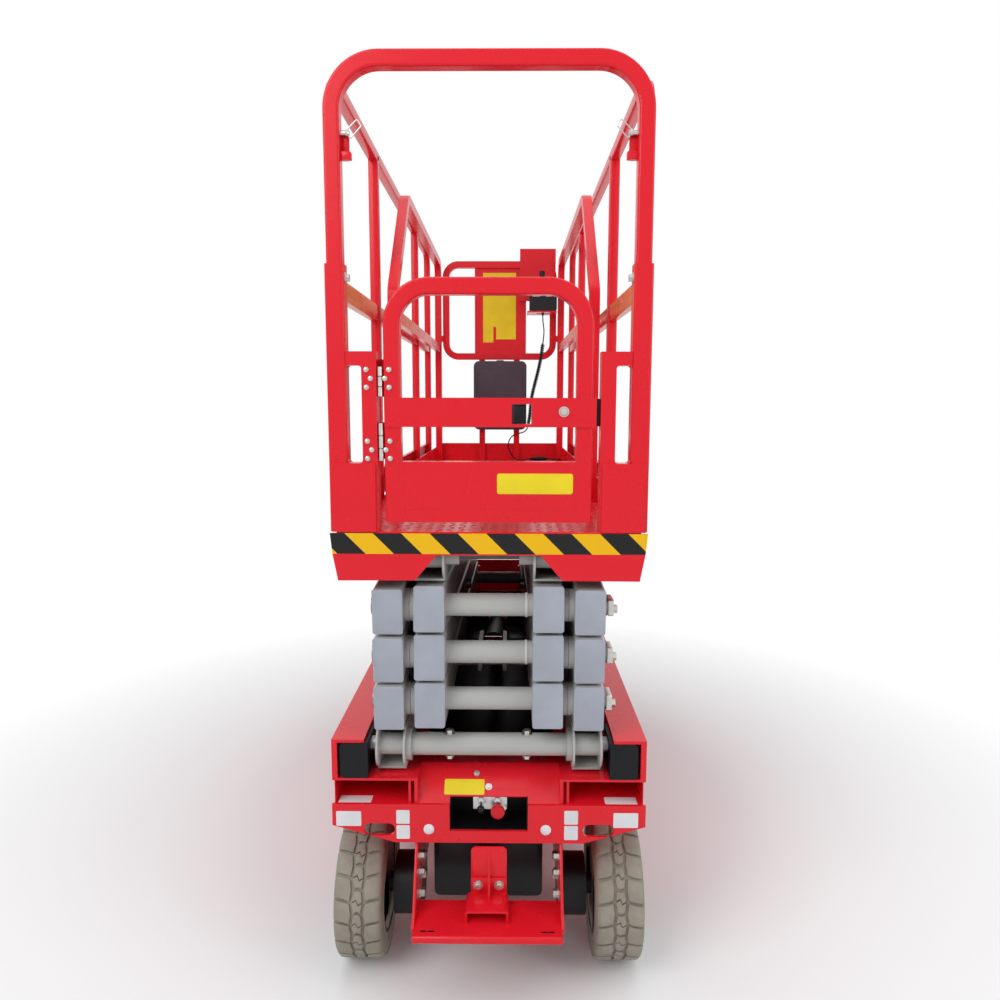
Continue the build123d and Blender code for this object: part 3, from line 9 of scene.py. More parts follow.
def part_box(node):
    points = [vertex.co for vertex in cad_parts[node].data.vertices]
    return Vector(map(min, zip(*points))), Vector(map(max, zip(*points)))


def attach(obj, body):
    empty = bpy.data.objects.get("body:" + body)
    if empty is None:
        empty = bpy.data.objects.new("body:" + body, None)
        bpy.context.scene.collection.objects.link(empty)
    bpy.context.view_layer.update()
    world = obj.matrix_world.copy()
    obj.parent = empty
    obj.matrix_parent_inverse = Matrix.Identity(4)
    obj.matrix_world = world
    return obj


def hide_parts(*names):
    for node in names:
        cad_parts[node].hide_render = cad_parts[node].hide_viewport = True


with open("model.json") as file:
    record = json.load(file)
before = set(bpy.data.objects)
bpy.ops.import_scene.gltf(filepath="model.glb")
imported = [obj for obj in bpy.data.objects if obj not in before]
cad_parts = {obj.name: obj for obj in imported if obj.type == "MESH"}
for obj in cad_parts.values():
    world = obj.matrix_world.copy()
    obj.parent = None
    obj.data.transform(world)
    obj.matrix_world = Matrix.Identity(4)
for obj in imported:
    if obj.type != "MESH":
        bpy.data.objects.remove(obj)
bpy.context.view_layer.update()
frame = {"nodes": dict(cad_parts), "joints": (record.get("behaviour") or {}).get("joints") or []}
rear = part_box("rear_end")[0].y

# ---------------------------------------------------------------- camera
# A standing person's eye height, a step behind the gate end and a little right of the middle,
# looking slightly down at the machine.
CAMERA_PLACE = (0.047, -2.920, 1.553)
CAMERA_PAN, CAMERA_TILT, CAMERA_ROLL = (math.radians(angle) for angle in (0.60, 90 - 7.28, 0.11))


def placed(name, data):
    """A new object that shows the data, in the scene."""
    made = bpy.data.objects.new(name, data)
    bpy.context.scene.collection.objects.link(made)
    return made


camera_data = bpy.data.cameras.new("camera")
camera_data.sensor_width = 36
camera_data.lens = 27.98
camera = placed("camera", camera_data)
camera.matrix_world = (
    Matrix.Translation(CAMERA_PLACE)
    @ Matrix.Rotation(CAMERA_PAN, 4, "Z")
    @ Matrix.Rotation(CAMERA_TILT, 4, "X")
    @ Matrix.Rotation(CAMERA_ROLL, 4, "Z")
)
bpy.context.scene.camera = camera
bpy.context.scene.view_settings.view_transform = "Standard"


# ---------------------------------------------------------------- control cable
# A black polyurethane curly cord hangs from the gland under the control box and ends in a screwed
# connector on the extension deck. A short lead goes on to a gland inside the right toe board.
class Amount:
    """A number or vector carried by a shader socket. Arithmetic on it adds Math nodes."""

    def __init__(self, tree, socket):
        self.tree = tree
        self.socket = socket

    def math(self, operation, first, second=None, clamp=False):
        made = self.tree.nodes.new("ShaderNodeMath")
        made.operation = operation
        made.use_clamp = clamp
        for socket, value in zip(made.inputs, (first, second)):
            if isinstance(value, Amount):
                self.tree.links.new(value.socket, socket)
            elif value is not None:
                socket.default_value = value
        return Amount(self.tree, made.outputs[0])

    def __add__(self, other):
        return self.math("ADD", self, other)

    __radd__ = __add__

    def __sub__(self, other):
        return self.math("SUBTRACT", self, other)

    def __rsub__(self, other):
        return self.math("SUBTRACT", other, self)

    def __mul__(self, other):
        return self.math("MULTIPLY", self, other)

    __rmul__ = __mul__

    def __truediv__(self, other):
        return self.math("DIVIDE", self, other)

    def __gt__(self, other):
        return self.math("GREATER_THAN", self, other)

    def __lt__(self, other):
        return self.math("LESS_THAN", self, other)

    def clipped(self):
        return self.math("ADD", self, 0.0, clamp=True)


def tone(red, green, blue):
    """Linear colour of a paint chip in steps of 0 to 255."""
    linear = [((step / 255 + 0.055) / 1.055) ** 2.4 for step in (red, green, blue)]
    return (*linear, 1.0)


def shade(colour, share):
    """The same colour, darker for a share under 1 and lighter above."""
    return (*[min(1.0, part * share) for part in colour[:3]], 1.0)


class Finish:
    """A material: its node tree and its Principled shader."""

    def __init__(self, name, roughness=0.5, metallic=0.0):
        self.material = bpy.data.materials.new(name)
        self.material.use_nodes = True
        self.tree = self.material.node_tree
        self.shader = self.tree.nodes["Principled BSDF"]
        self.feed("Roughness", roughness)
        self.feed("Metallic", metallic)
        self.place = self.node("TexCoord", output="Object")

    def node(self, kind, settings=None, sockets=None, output=0):
        """Any other node: its settings first, then values or links for its sockets."""
        made = self.tree.nodes.new("ShaderNode" + kind)
        for key, value in (settings or {}).items():
            if key == "stops":
                for element, (position, level) in zip(made.color_ramp.elements, value):
                    element.position = position
                    element.color = (level, level, level, 1.0)
            else:
                setattr(made, key, value)
        for key, value in (sockets or {}).items():
            self.feed(made.inputs[key], value)
        return Amount(self.tree, made.outputs[output])

    def feed(self, socket, value):
        """Sets a socket, or links it; the shader's own go by their names."""
        if isinstance(socket, str):
            socket = self.shader.inputs[socket]
        if isinstance(value, Amount):
            self.tree.links.new(value.socket, socket)
        else:
            socket.default_value = value

    def blend(self, factor, first, second):
        """Colour that goes from first to second with the factor."""
        return self.node("Mix", {"data_type": "RGBA"}, {0: factor, 6: first, 7: second}, output=2)

    def part_of_place(self):
        """The X, Y and Z of a point of the surface, in the machine's frame."""
        split = self.tree.nodes.new("ShaderNodeSeparateXYZ")
        self.tree.links.new(self.place.socket, split.inputs[0])
        return [Amount(self.tree, socket) for socket in split.outputs]

    def cloud(self, size, detail=2.0):
        """Soft noise whose lumps are about size metres across."""
        sockets = {"Vector": self.place, "Scale": 1 / size, "Detail": detail}
        return self.node("TexNoise", None, sockets)

    def relief(self, height, depth):
        """Feeds the shader's Normal with a bump of that depth in metres."""
        bump = self.node("Bump", None, {"Height": height, "Distance": depth, "Strength": 1.0})
        self.feed("Normal", bump)

    def colour(self, value):
        self.feed("Base Color", value)

    def colour_over(self, where, value):
        """Lays another colour over the present one."""
        under = Amount(self.tree, self.shader.inputs["Base Color"].links[0].from_socket)
        self.colour(self.blend(where, under, value))


def moulded(name, colour, roughness, grain=0.0008, depth=0.00004):
    """Moulded plastic or rubber skin: fine grain, slight mottling, worn a little shiny in places."""
    finish = Finish(name, roughness)
    finish.colour(finish.blend(finish.cloud(0.06, 4), shade(colour, 0.85), shade(colour, 1.15)))
    finish.feed("Roughness", finish.cloud(0.09, 3) * 0.16 + (roughness - 0.08))
    finish.relief(finish.cloud(grain), depth)
    finish.feed("Specular IOR Level", 0.25)
    return finish


def dress(finish, *names):
    """Gives CAD nodes their material."""
    for name in names:
        node = frame["nodes"][name]
        if not node.material_slots:
            node.data.materials.append(finish.material)
        for slot in node.material_slots:
            slot.material = finish.material


def route_curve(name, route, diameter, finish=None):
    """A smooth cord along the route's points; with no finish only its line, to read points from."""
    data = bpy.data.curves.new(name, "CURVE")
    data.dimensions = "3D"
    data.resolution_u = 16 if finish is None else 3
    spline = data.splines.new("NURBS")
    spline.points.add(len(route) - 1)
    for point, place in zip(spline.points, route):
        point.co = (*place, 1.0)
    spline.order_u = 3
    spline.use_endpoint_u = True
    if finish is not None:
        data.bevel_depth = diameter / 2
        data.bevel_resolution = 3
        data.use_fill_caps = True
        data.materials.append(finish.material)
    return placed(name, data)


CABLE_DIAMETER = 0.006
CURL_RADIUS = 0.0070
CURL_TURNS = 48
POINTS_A_TURN = 12
CURL_TOP, CURL_BOTTOM = 1.843, 1.429
CURL_TAPER_TURNS = 0.8
STRAIGHT_STRIDE = 6  # of the straight lengths' points, every sixth is enough
GLAND_TIP = (0.219, 1.090, 1.980)
CONNECTOR_START = Vector((0.158, 1.152, 1.2516))
CONNECTOR_END = Vector((0.250, 1.158, 1.2516))
CONNECTOR_LINE = (CONNECTOR_END - CONNECTOR_START).normalized()
CABLE_ROUTE = [
    GLAND_TIP, (0.219, 1.090, 1.950), (0.227, 1.090, 1.909), (0.2241, 1.090, 1.8701), (0.221, 1.090, 1.843),
    (0.213, 1.090, 1.773), (0.197, 1.090, 1.698), (0.176, 1.090, 1.618), (0.163, 1.090, 1.557),
    (0.158, 1.090, 1.481), (0.148, 1.090, 1.429), (0.144, 1.090, 1.4082), (0.128, 1.091, 1.393),
    (0.104, 1.092, 1.387), (0.076, 1.094, 1.380), (0.054, 1.098, 1.359), (0.046, 1.104, 1.330),
    (0.051, 1.112, 1.298), (0.066, 1.122, 1.269), (0.088, 1.134, 1.249), (0.115, 1.144, 1.2435),
    CONNECTOR_START - CONNECTOR_LINE * 0.018, CONNECTOR_START,
]
LEAD_DIAMETER = 0.006
LEAD_ROUTE = [
    CONNECTOR_END, CONNECTOR_END + CONNECTOR_LINE * 0.0142, (0.2777, 1.1537, 1.2516),
    (0.2965, 1.1343, 1.2516), (0.3096, 1.1287, 1.2516), (0.3230, 1.1287, 1.2516),
]


def route_points(route):
    """Points along the smooth line of a route."""
    line = route_curve("route_line", route, 0)
    mesh = bpy.data.meshes.new_from_object(line)
    points = [vertex.co.copy() for vertex in mesh.vertices]
    bpy.data.meshes.remove(mesh)
    bpy.data.objects.remove(line)
    return points


def curled(points):
    """The cord's own points: straight where the route is outside the curl, and wound inside it."""
    above = [point for point in points if point.z >= CURL_TOP]
    within = [point for point in points if CURL_BOTTOM < point.z < CURL_TOP]
    below = points[len(above) + len(within):]
    steps = CURL_TURNS * POINTS_A_TURN
    lengths = [0.0]
    for before, after in zip(within, within[1:]):
        lengths.append(lengths[-1] + (after - before).length)
    wound = []
    segment = 0
    for step in range(steps + 1):
        place = lengths[-1] * step / steps
        while segment < len(lengths) - 2 and lengths[segment + 1] < place:
            segment += 1
        share = (place - lengths[segment]) / (lengths[segment + 1] - lengths[segment])
        centre = within[segment].lerp(within[segment + 1], share)
        down = (within[segment + 1] - within[segment]).normalized()
        side = down.cross(Vector((0, 1, 0))).normalized()
        turn = 2 * math.pi * step / POINTS_A_TURN
        ends = min(step, steps - step) / (POINTS_A_TURN * CURL_TAPER_TURNS)
        # a cord drawn through points lies a little inside them
        radius = CURL_RADIUS * min(1.0, ends) * 2 / (1 + math.cos(2 * math.pi / POINTS_A_TURN))
        across = side * math.cos(turn) + down.cross(side) * math.sin(turn)
        wound.append(centre + across * radius)
    return above[::STRAIGHT_STRIDE] + [above[-1]] + wound[2:-2] + below[4::STRAIGHT_STRIDE] + [below[-1]]


cable_skin = moulded("black_cable_skin", tone(13, 13, 15), 0.42)
cable = route_curve("control_cable", curled(route_points(CABLE_ROUTE)), CABLE_DIAMETER, cable_skin)
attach(cable, "extension")
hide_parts("control_cable_top", "control_cable_coil", "control_cable_tail")
lead = route_curve("deck_lead", LEAD_ROUTE, LEAD_DIAMETER, cable_skin)
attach(lead, "extension")
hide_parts("deck_cable")
connector_plastic = moulded("connector_plastic", tone(12, 12, 14), 0.5, grain=0.002, depth=0.0001)
dress(connector_plastic, "cable_connector")

# ---------------------------------------------------------------- floor and light
# A plain pale floor that runs out to white, one large soft lamp from the left behind the viewer,
# a top light and a weak fill.
FLOOR_RADIUS = 40
FLOOR_COLOUR = (0.9, 0.9, 0.9, 1.0)
FADE_START, FADE_END = 0.9, 2.5
WORLD_COLOUR = (0.93, 0.96, 1.0, 1.0)
WORLD_STRENGTH = 0.42
WHITE = (1, 1, 1, 1)


def seen_rays(tree):
    """1 for rays straight from the viewer, mirrored or through glass, and 0 for the rest."""
    rays = tree.nodes.new("ShaderNodeLightPath").outputs
    others = (Amount(tree, rays[kind]) for kind in ("Is Glossy Ray", "Is Transmission Ray"))
    return sum(others, Amount(tree, rays["Is Camera Ray"])).clipped()


floor_mesh = bmesh.new()
bmesh.ops.create_circle(floor_mesh, cap_ends=True, segments=96, radius=FLOOR_RADIUS)
floor_data = bpy.data.meshes.new("floor")
floor_mesh.to_mesh(floor_data)
floor_mesh.free()
floor = placed("floor", floor_data)
floor_finish = Finish("pale_floor", 0.85)
floor_finish.colour(FLOOR_COLOUR)
seen = seen_rays(floor_finish.tree)
far_away = floor_finish.node("VectorMath", {"operation": "LENGTH"}, {0: floor_finish.place}, "Value")
fade = ((far_away - FADE_START) / (FADE_END - FADE_START)).clipped()
white = floor_finish.node("Emission", None, {"Color": WHITE, "Strength": 1.0})
floor_mix = floor_finish.node(
    "MixShader", None,
    {0: fade * seen, 1: Amount(floor_finish.tree, floor_finish.shader.outputs[0]), 2: white},
)
floor_finish.feed(floor_finish.tree.nodes["Material Output"].inputs["Surface"], floor_mix)
floor_data.materials.append(floor_finish.material)

world = bpy.data.worlds.new("studio")
world.use_nodes = True
bpy.context.scene.world = world
studio = world.node_tree
dim = studio.nodes["Background"]
dim.inputs["Color"].default_value = WORLD_COLOUR
dim.inputs["Strength"].default_value = WORLD_STRENGTH
bright = studio.nodes.new("ShaderNodeBackground")
bright.inputs["Color"].default_value = WHITE
bright.inputs["Strength"].default_value = 1.0
world_mix = studio.nodes.new("ShaderNodeMixShader")
studio.links.new(seen_rays(studio).socket, world_mix.inputs[0])
studio.links.new(dim.outputs[0], world_mix.inputs[1])
studio.links.new(bright.outputs[0], world_mix.inputs[2])
studio.links.new(world_mix.outputs[0], studio.nodes["World Output"].inputs["Surface"])

LAMPS = [  # name, watts, edge length, place, aim
    ("key_lamp", 85, 2.5, (-2.2, -3.6, 3.8), (0, 0, 1.0)),
    ("top_lamp", 410, 11.0, (0, 0, 12.0), (0, 0, 0)),
    ("fill_lamp", 30, 2.0, (2.8, -2.4, 2.4), (0, 0, 1.0)),
]
for lamp_name, watts, edge_length, place, aim in LAMPS:
    lamp_data = bpy.data.lights.new(lamp_name, "AREA")
    lamp_data.energy = watts
    lamp_data.size = edge_length
    lamp = placed(lamp_name, lamp_data)
    lamp.location = place
    lamp.rotation_mode = "QUATERNION"
    lamp.rotation_quaternion = (Vector(aim) - Vector(place)).to_track_quat("-Z", "Y")


# ---------------------------------------------------------------- chassis
# Welded steel plate and channel in gloss red enamel. Bolts are zinc plated; the release valve block
# behind the opening is bare aluminium with a black ball knob and a red push knob.
def enamel(name, colour, roughness=0.27, edge=0.0016):
    """Sprayed enamel: faint clouding, orange peel, and paler along the edges, partly as paint worn thin and
    partly as a painted highlight.
    """
    finish = Finish(name, roughness)
    rounded = finish.node("Bevel", {"samples": 4}, {"Radius": edge})
    flat = finish.node("NewGeometry", output="Normal")
    turned = finish.node("VectorMath", {"operation": "DOT_PRODUCT"}, {0: rounded, 1: flat}, "Value")
    edges = ((1 - turned) * 5).clipped()
    clouded = finish.blend(finish.cloud(0.35, 4), shade(colour, 0.97), shade(colour, 1.03))
    # the paler edge colour is partly thin paint and partly a painted highlight
    thin_paint_and_highlight = tuple(part * 0.9 + 0.03 for part in colour[:3]) + (1.0,)
    finish.colour(finish.blend(edges * finish.cloud(0.02, 3), clouded, thin_paint_and_highlight))
    finish.feed("Roughness", finish.cloud(0.12, 3) * 0.06 + (roughness - 0.03))
    finish.relief(finish.cloud(0.009, 1), 0.000015)
    finish.feed("Specular IOR Level", 0.28)
    finish.feed("Coat Weight", 0.06)
    finish.feed("Coat Roughness", 0.1)
    return finish


def plated(name, colour, roughness, scratch=0.0004):
    """Zinc or nickel plate, and bare aluminium: fine scratches and dull spots."""
    finish = Finish(name, roughness, metallic=1.0)
    finish.colour(finish.blend(finish.cloud(0.012, 4), shade(colour, 0.8), colour))
    finish.feed("Roughness", finish.cloud(0.006, 4) * 0.2 + (roughness - 0.1))
    finish.relief(finish.cloud(scratch, 3), 0.00003)
    return finish


RED = tone(226, 24, 40)
red_enamel = enamel("red_enamel", RED)
dress(
    red_enamel, "chassis_frame", "slide_rails", "rear_end", "fork_pockets", "front_axle", "base_brackets",
    "cylinder_mount",
)
zinc = plated("zinc_plate", (0.62, 0.61, 0.58, 1.0), 0.34)
aluminium = plated("bare_aluminium", (0.66, 0.66, 0.66, 1.0), 0.42, scratch=0.001)
black_moulding = moulded("black_moulding", tone(12, 12, 15), 0.38)
red_moulding = moulded("red_moulding", tone(205, 30, 40), 0.3)
white_moulding = moulded("white_moulding", tone(225, 226, 228), 0.35)


def raised(outline, base_z, thickness):
    """A mesh of an outline in the XY plane, raised along Z."""
    part = bmesh.new()
    base = part.faces.new([part.verts.new((x, y, base_z)) for x, y in outline])
    geometry = bmesh.ops.extrude_face_region(part, geom=[base])["geom"]
    moved = [item for item in geometry if isinstance(item, bmesh.types.BMVert)]
    bmesh.ops.translate(part, verts=moved, vec=(0, 0, thickness))
    return part


class Shape:
    """A mesh in the making, in metres and in the machine's frame."""

    def __init__(self):
        self.mesh = bmesh.new()

    def add(self, other, matrix):
        """Puts a separate piece of mesh in, moved by a matrix."""
        other.transform(matrix)
        data = bpy.data.meshes.new("part")
        other.to_mesh(data)
        other.free()
        self.mesh.from_mesh(data)
        bpy.data.meshes.remove(data)
        return self

    def turned(self, place, axis, profile, sides=32):
        """Lathe work: (along, radius) pairs turned about an axis through place."""
        part = bmesh.new()
        rings = []
        for along, radius in profile:
            count = sides if radius > 1e-7 else 1
            angles = [2 * math.pi * index / count for index in range(count)]
            ring = [(radius * math.cos(a), radius * math.sin(a), along) for a in angles]
            rings.append([part.verts.new(corner) for corner in ring])
        for lower, upper in zip(rings, rings[1:]):
            for index in range(sides):
                after = (index + 1) % sides
                corners = [lower[index % len(lower)], lower[after % len(lower)]]
                corners += [upper[after % len(upper)], upper[index % len(upper)]]
                corners = list(dict.fromkeys(corners))
                if len(corners) > 2:
                    part.faces.new(corners)
        for ring in (rings[0], rings[-1]):
            if len(ring) > 2:
                part.faces.new(ring)
        bmesh.ops.recalc_face_normals(part, faces=part.faces)
        aim = Vector(axis).to_track_quat("Z", "Y").to_matrix().to_4x4()
        return self.add(part, Matrix.Translation(place) @ aim)

    def prism(self, outline, thickness, matrix, edge=0.0, steps=2):
        """An outline in the local XY plane, raised along local Z, its edges rounded."""
        part = raised(outline, 0, thickness)
        bmesh.ops.recalc_face_normals(part, faces=part.faces)
        if edge:
            bmesh.ops.bevel(
                part, geom=part.edges[:], offset=edge, segments=steps, profile=0.5, affect="EDGES",
                clamp_overlap=True,
            )
        return self.add(part, matrix)

    def block(self, low, high, edge=0.001):
        """A block between two corners, its edges rounded."""
        (x0, y0, z0), (x1, y1, z1) = low, high
        outline = [(x0, y0), (x1, y0), (x1, y1), (x0, y1)]
        return self.prism(outline, z1 - z0, Matrix.Translation((0, 0, z0)), edge)

    def bar(self, path, across, width, depth, corner=0.004):
        """A bent bar along a flat path: its width is along across, its depth in the path's plane."""
        across = Vector(across).normalized()
        path = [Vector(place) for place in path]
        outline = rounded_outline((-width / 2, -depth / 2), (width / 2, depth / 2), corner, 2)
        part = bmesh.new()
        rings = []
        for index, place in enumerate(path):
            before = (place - path[index - 1] if index else path[1] - place).normalized()
            after = (path[index + 1] - place).normalized() if index < len(path) - 1 else before
            ahead = (before + after).normalized()
            deep = ahead.cross(across) / ahead.dot(before)
            rings.append([part.verts.new(place + across * a + deep * d) for a, d in outline])
        for lower, upper in zip(rings, rings[1:]):
            for index in range(len(outline)):
                after = (index + 1) % len(outline)
                part.faces.new((lower[index], lower[after], upper[after], upper[index]))
        part.faces.new(rings[0])
        part.faces.new(rings[-1])
        bmesh.ops.recalc_face_normals(part, faces=part.faces)
        return self.add(part, Matrix.Identity(4))

    def bolt(self, place, axis, across=0.017, head=0.009, washer=0.014):
        """A hexagon head with its chamfer on a plain washer, seated on place and facing along axis."""
        point = across / 2 / math.cos(math.pi / 6)
        self.turned(place, axis, [(0, 0), (0, washer), (0.0015, washer), (0.0015, 0)], 24)
        chamfer = 0.9 * head
        hexagon = [(0.001, 0), (0.001, point), (chamfer, point), (head, point * 0.86), (head, 0)]
        return self.turned(place, axis, hexagon, 6)


def piece(name, shape, finish, body, crease=38):
    """Turns a shape into an object that rides on a body."""
    data = bpy.data.meshes.new(name)
    shape.mesh.to_mesh(data)
    shape.mesh.free()
    data.polygons.foreach_set("use_smooth", [True] * len(data.polygons))
    data.set_sharp_from_angle(angle=math.radians(crease))
    data.materials.append(finish.material)
    made = placed(name, data)
    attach(made, body)
    return made


def facing_rear(y):
    """Local X to the right, local Y up, local Z out of the rear, in the upright plane at y."""
    return Matrix.Translation((0, y, 0)) @ Matrix.Rotation(math.pi / 2, 4, "X")


def facing_side(x):
    """Local X to the front, local Y up, local Z to the right, in the upright plane at x."""
    return Matrix(((0, 0, 1, x), (1, 0, 0, 0), (0, 1, 0, 0), (0, 0, 0, 1)))


def axes(along_x, along_y, along_z, place):
    """Local X, Y and Z along three unit vectors, from a place."""
    return Matrix.Translation(place) @ Matrix((along_x, along_y, along_z)).transposed().to_4x4()


def rounded_outline(low, high, radius, steps=5):
    """Corners of a rectangle with round corners, between two 2-D corners."""
    (x0, y0), (x1, y1) = low, high
    centres = [(x1 - radius, y1 - radius), (x0 + radius, y1 - radius)]
    centres += [(x0 + radius, y0 + radius), (x1 - radius, y0 + radius)]
    outline = []
    for quarter, (x, y) in enumerate(centres):
        for step in range(steps + 1):
            angle = math.pi / 2 * (quarter + step / steps)
            outline.append((x + radius * math.cos(angle), y + radius * math.sin(angle)))
    return outline


def rounded_path(corners, radius, steps=6):
    """A path through the corners, with an arc of that radius at each inner one."""
    corners = [Vector(corner) for corner in corners]
    path = [corners[0]]
    for before, corner, after in zip(corners, corners[1:], corners[2:]):
        back = (before - corner).normalized()
        ahead = (after - corner).normalized()
        half = back.angle(ahead) / 2
        centre = corner + (back + ahead).normalized() * radius / math.sin(half)
        start = (corner + back * radius / math.tan(half) - centre).normalized()
        end = (corner + ahead * radius / math.tan(half) - centre).normalized()
        side = (end - start * start.dot(end)).normalized()
        for step in range(steps + 1):
            angle = start.angle(end) * step / steps
            path.append(centre + (start * math.cos(angle) + side * math.sin(angle)) * radius)
    return path + [corners[-1]]


# release valve block and its knobs, in a black compartment between the fork pockets
VALVE_HALF, VALVE_FLOOR, VALVE_TOP = 0.0988, 0.461, 0.548
VALVE_NEAR, VALVE_FAR = rear + 0.0083, rear + 0.0983
VALVE_FACE = rear + 0.030
CHEEK_TOP, CEILING_START = 0.527, rear + 0.036
LINER = 0.0015
cheek = [(VALVE_NEAR, VALVE_FLOOR), (VALVE_NEAR, CHEEK_TOP), (CEILING_START, VALVE_TOP)]
cheek += [(VALVE_FAR, VALVE_TOP), (VALVE_FAR, VALVE_FLOOR)]
liner = Shape()
for low_x in (-VALVE_HALF, VALVE_HALF - LINER):
    liner.prism(cheek, LINER, facing_side(low_x))
for near_y, low_z in ((VALVE_NEAR, VALVE_FLOOR), (CEILING_START, VALVE_TOP - LINER)):
    liner.block((-VALVE_HALF, near_y, low_z), (VALVE_HALF, VALVE_FAR, low_z + LINER), 0)
liner.block((-VALVE_HALF, VALVE_FAR - LINER, VALVE_FLOOR), (VALVE_HALF, VALVE_FAR, VALVE_TOP), 0)
piece("valve_compartment", liner, black_moulding, "chassis")
FITTING = [(0, 0.010), (0.008, 0.010), (0.008, 0.008), (0.012, 0.008), (0.013, 0.006), (0.013, 0)]
PORTS = [(-0.020, 0.530), (0.022, 0.530), (0.036, 0.512)]
valve = Shape().block((-0.041, VALVE_FACE, 0.503), (0.047, rear + 0.060, 0.538), 0.002)
for port_x, port_z in PORTS:
    valve.turned((port_x, VALVE_FACE, port_z), (0, -1, 0), FITTING, 6)
piece("valve_block", valve, aluminium, "chassis")
BALL_RADIUS = 0.010
ball_knob = [(-0.014, 0.003), (0.0045, 0.003)]
for step in range(2, 11):
    angle = math.pi * step / 10
    ball_knob.append((0.004 + BALL_RADIUS * (1 - math.cos(angle)), BALL_RADIUS * math.sin(angle)))
release_knob = Shape().turned((-0.020, rear + 0.016, 0.517), (0, -1, 0.1), ball_knob, 20)
piece("release_knob", release_knob, black_moulding, "chassis")
BUTTON = [(-0.012, 0.006), (0, 0.006), (0.006, 0.007), (0.007, 0.0175), (0.013, 0.0185), (0.018, 0.017)]
BUTTON += [(0.021, 0.011), (0.022, 0)]
push_knob = Shape().turned((0.023, rear + 0.018, 0.510), (0, -1, 0), BUTTON, 28)
piece("push_knob", push_knob, red_moulding, "chassis")

# dome plugs in the end plate
DOME = [(0, 0.0135), (0.002, 0.0135), (0.004, 0.011), (0.0055, 0.007), (0.0062, 0.003), (0.0064, 0)]
plugs = Shape()
for plug_x in (-0.153, 0.146):
    plugs.turned((plug_x, rear, 0.465), (0, -1, 0), DOME, 24)
piece("end_plate_plugs", plugs, white_moulding, "chassis")

# blank vinyl labels on the end plate, in the fork pockets and on the slope
white_vinyl = moulded("white_vinyl", tone(222, 224, 226), 0.35, grain=0.002, depth=0.00001)
yellow_vinyl = moulded("yellow_vinyl", tone(238, 214, 40), 0.35, grain=0.002, depth=0.00001)
VINYL = 0.0003
LABEL_CORNER = 0.003
END_LABELS = [  # left, bottom, right, top
    (-0.390, 0.472, -0.326, 0.512), (-0.236, 0.479, -0.202, 0.516), (-0.236, 0.438, -0.202, 0.475),
    (0.193, 0.480, 0.228, 0.517), (0.193, 0.438, 0.228, 0.476), (0.318, 0.472, 0.381, 0.512),
]
POCKET_LABELS = [(-0.386, -0.302), (0.298, 0.380)]
POCKET_FLOOR = 0.531
end_labels = Shape()
for left, bottom, right, top in END_LABELS:
    end_labels.prism(rounded_outline((left, bottom), (right, top), LABEL_CORNER), VINYL, facing_rear(rear))
for left, right in POCKET_LABELS:
    on_floor = Matrix.Translation((0, rear, POCKET_FLOOR))
    end_labels.prism(rounded_outline((left, 0.009), (right, 0.044), LABEL_CORNER), VINYL, on_floor)
piece("end_labels", end_labels, white_vinyl, "chassis")
SLOPE_FOOT = Vector((0, rear + 0.008, 0.528))
SLOPE_HEAD = Vector((0, rear + 0.100, 0.597))
slope_up = (SLOPE_HEAD - SLOPE_FOOT).normalized()
slope_out = Vector((1, 0, 0)).cross(slope_up)
slope_frame = axes((1, 0, 0), slope_up, slope_out, SLOPE_FOOT)
slope_label = Shape().prism(rounded_outline((-0.116, 0.026), (-0.012, 0.068), 0.004), VINYL, slope_frame)
piece("slope_label", slope_label, yellow_vinyl, "chassis")
LIP_HALF, LIP_LOW, LIP_HIGH, LIP_PLATE = 0.0997, 0.022, 0.0414, 0.004
lip = [(-LIP_HALF, LIP_LOW), (LIP_HALF, LIP_LOW), (LIP_HALF, LIP_HIGH), (-LIP_HALF, LIP_HIGH)]
piece("slope_lip", Shape().prism(lip, -LIP_PLATE, slope_frame), red_enamel, "chassis")
slope_bolts = Shape()
slope_bolts.bolt(slope_frame @ Vector((-0.033, 0.084, 0)), slope_out, 0.009, 0.005, 0.008)
slope_bolts.bolt(slope_frame @ Vector((-0.001, 0.047, 0)), slope_out, 0.010, 0.006, 0.009)
piece("slope_bolts", slope_bolts, zinc, "chassis")

# the folded step plate hangs between the hub plates; a hat bracket and a ribbed upright tie it up
STEP_HALF = 0.1835
STEP_TOP = 0.266
STEP_LIP = 0.016
STEP_PLATE = 0.006
STEP_NEAR, STEP_END = rear - 0.138, rear + 0.006
WING_PLATE, WING_MIDDLE = 0.007, 0.1855
HAT_TOP = 0.300
HAT_MIDDLE, HAT_DEPTH = rear - 0.0495, 0.077
UPRIGHT_LEFT, UPRIGHT_RIGHT, UPRIGHT_TOP = -0.045, 0.047, 0.421
RIB_TOP, RIB_REACH = 0.411, 0.038
upright_y = rear - 0.008
fold_y, fold_z = STEP_NEAR + STEP_PLATE / 2, STEP_TOP - STEP_PLATE / 2
fold = rounded_path([(0, fold_y, STEP_TOP - STEP_LIP), (0, fold_y, fold_z), (0, STEP_END, fold_z)], 0.004, 3)
step_plate = Shape().bar(fold, (1, 0, 0), 2 * STEP_HALF, STEP_PLATE, 0.001)
step_bottom = STEP_TOP - STEP_PLATE
wing = [(rear + 0.008, 0.428), (rear + 0.008, step_bottom), (STEP_NEAR + 0.030, step_bottom)]
wing += [(STEP_NEAR + 0.030, STEP_TOP), (STEP_NEAR + 0.060, STEP_TOP + 0.012)]
for side in (-1, 1):
    step_plate.prism(wing, WING_PLATE, facing_side(side * WING_MIDDLE - WING_PLATE / 2), 0.001)
hat_foot, hat_roof = STEP_TOP - 0.002, HAT_TOP - 0.004
hat = [(-0.054, hat_foot), (-0.054, hat_roof), (0.048, hat_roof), (0.048, hat_foot)]
hat = rounded_path([(x, HAT_MIDDLE, z) for x, z in hat], 0.006, 3)
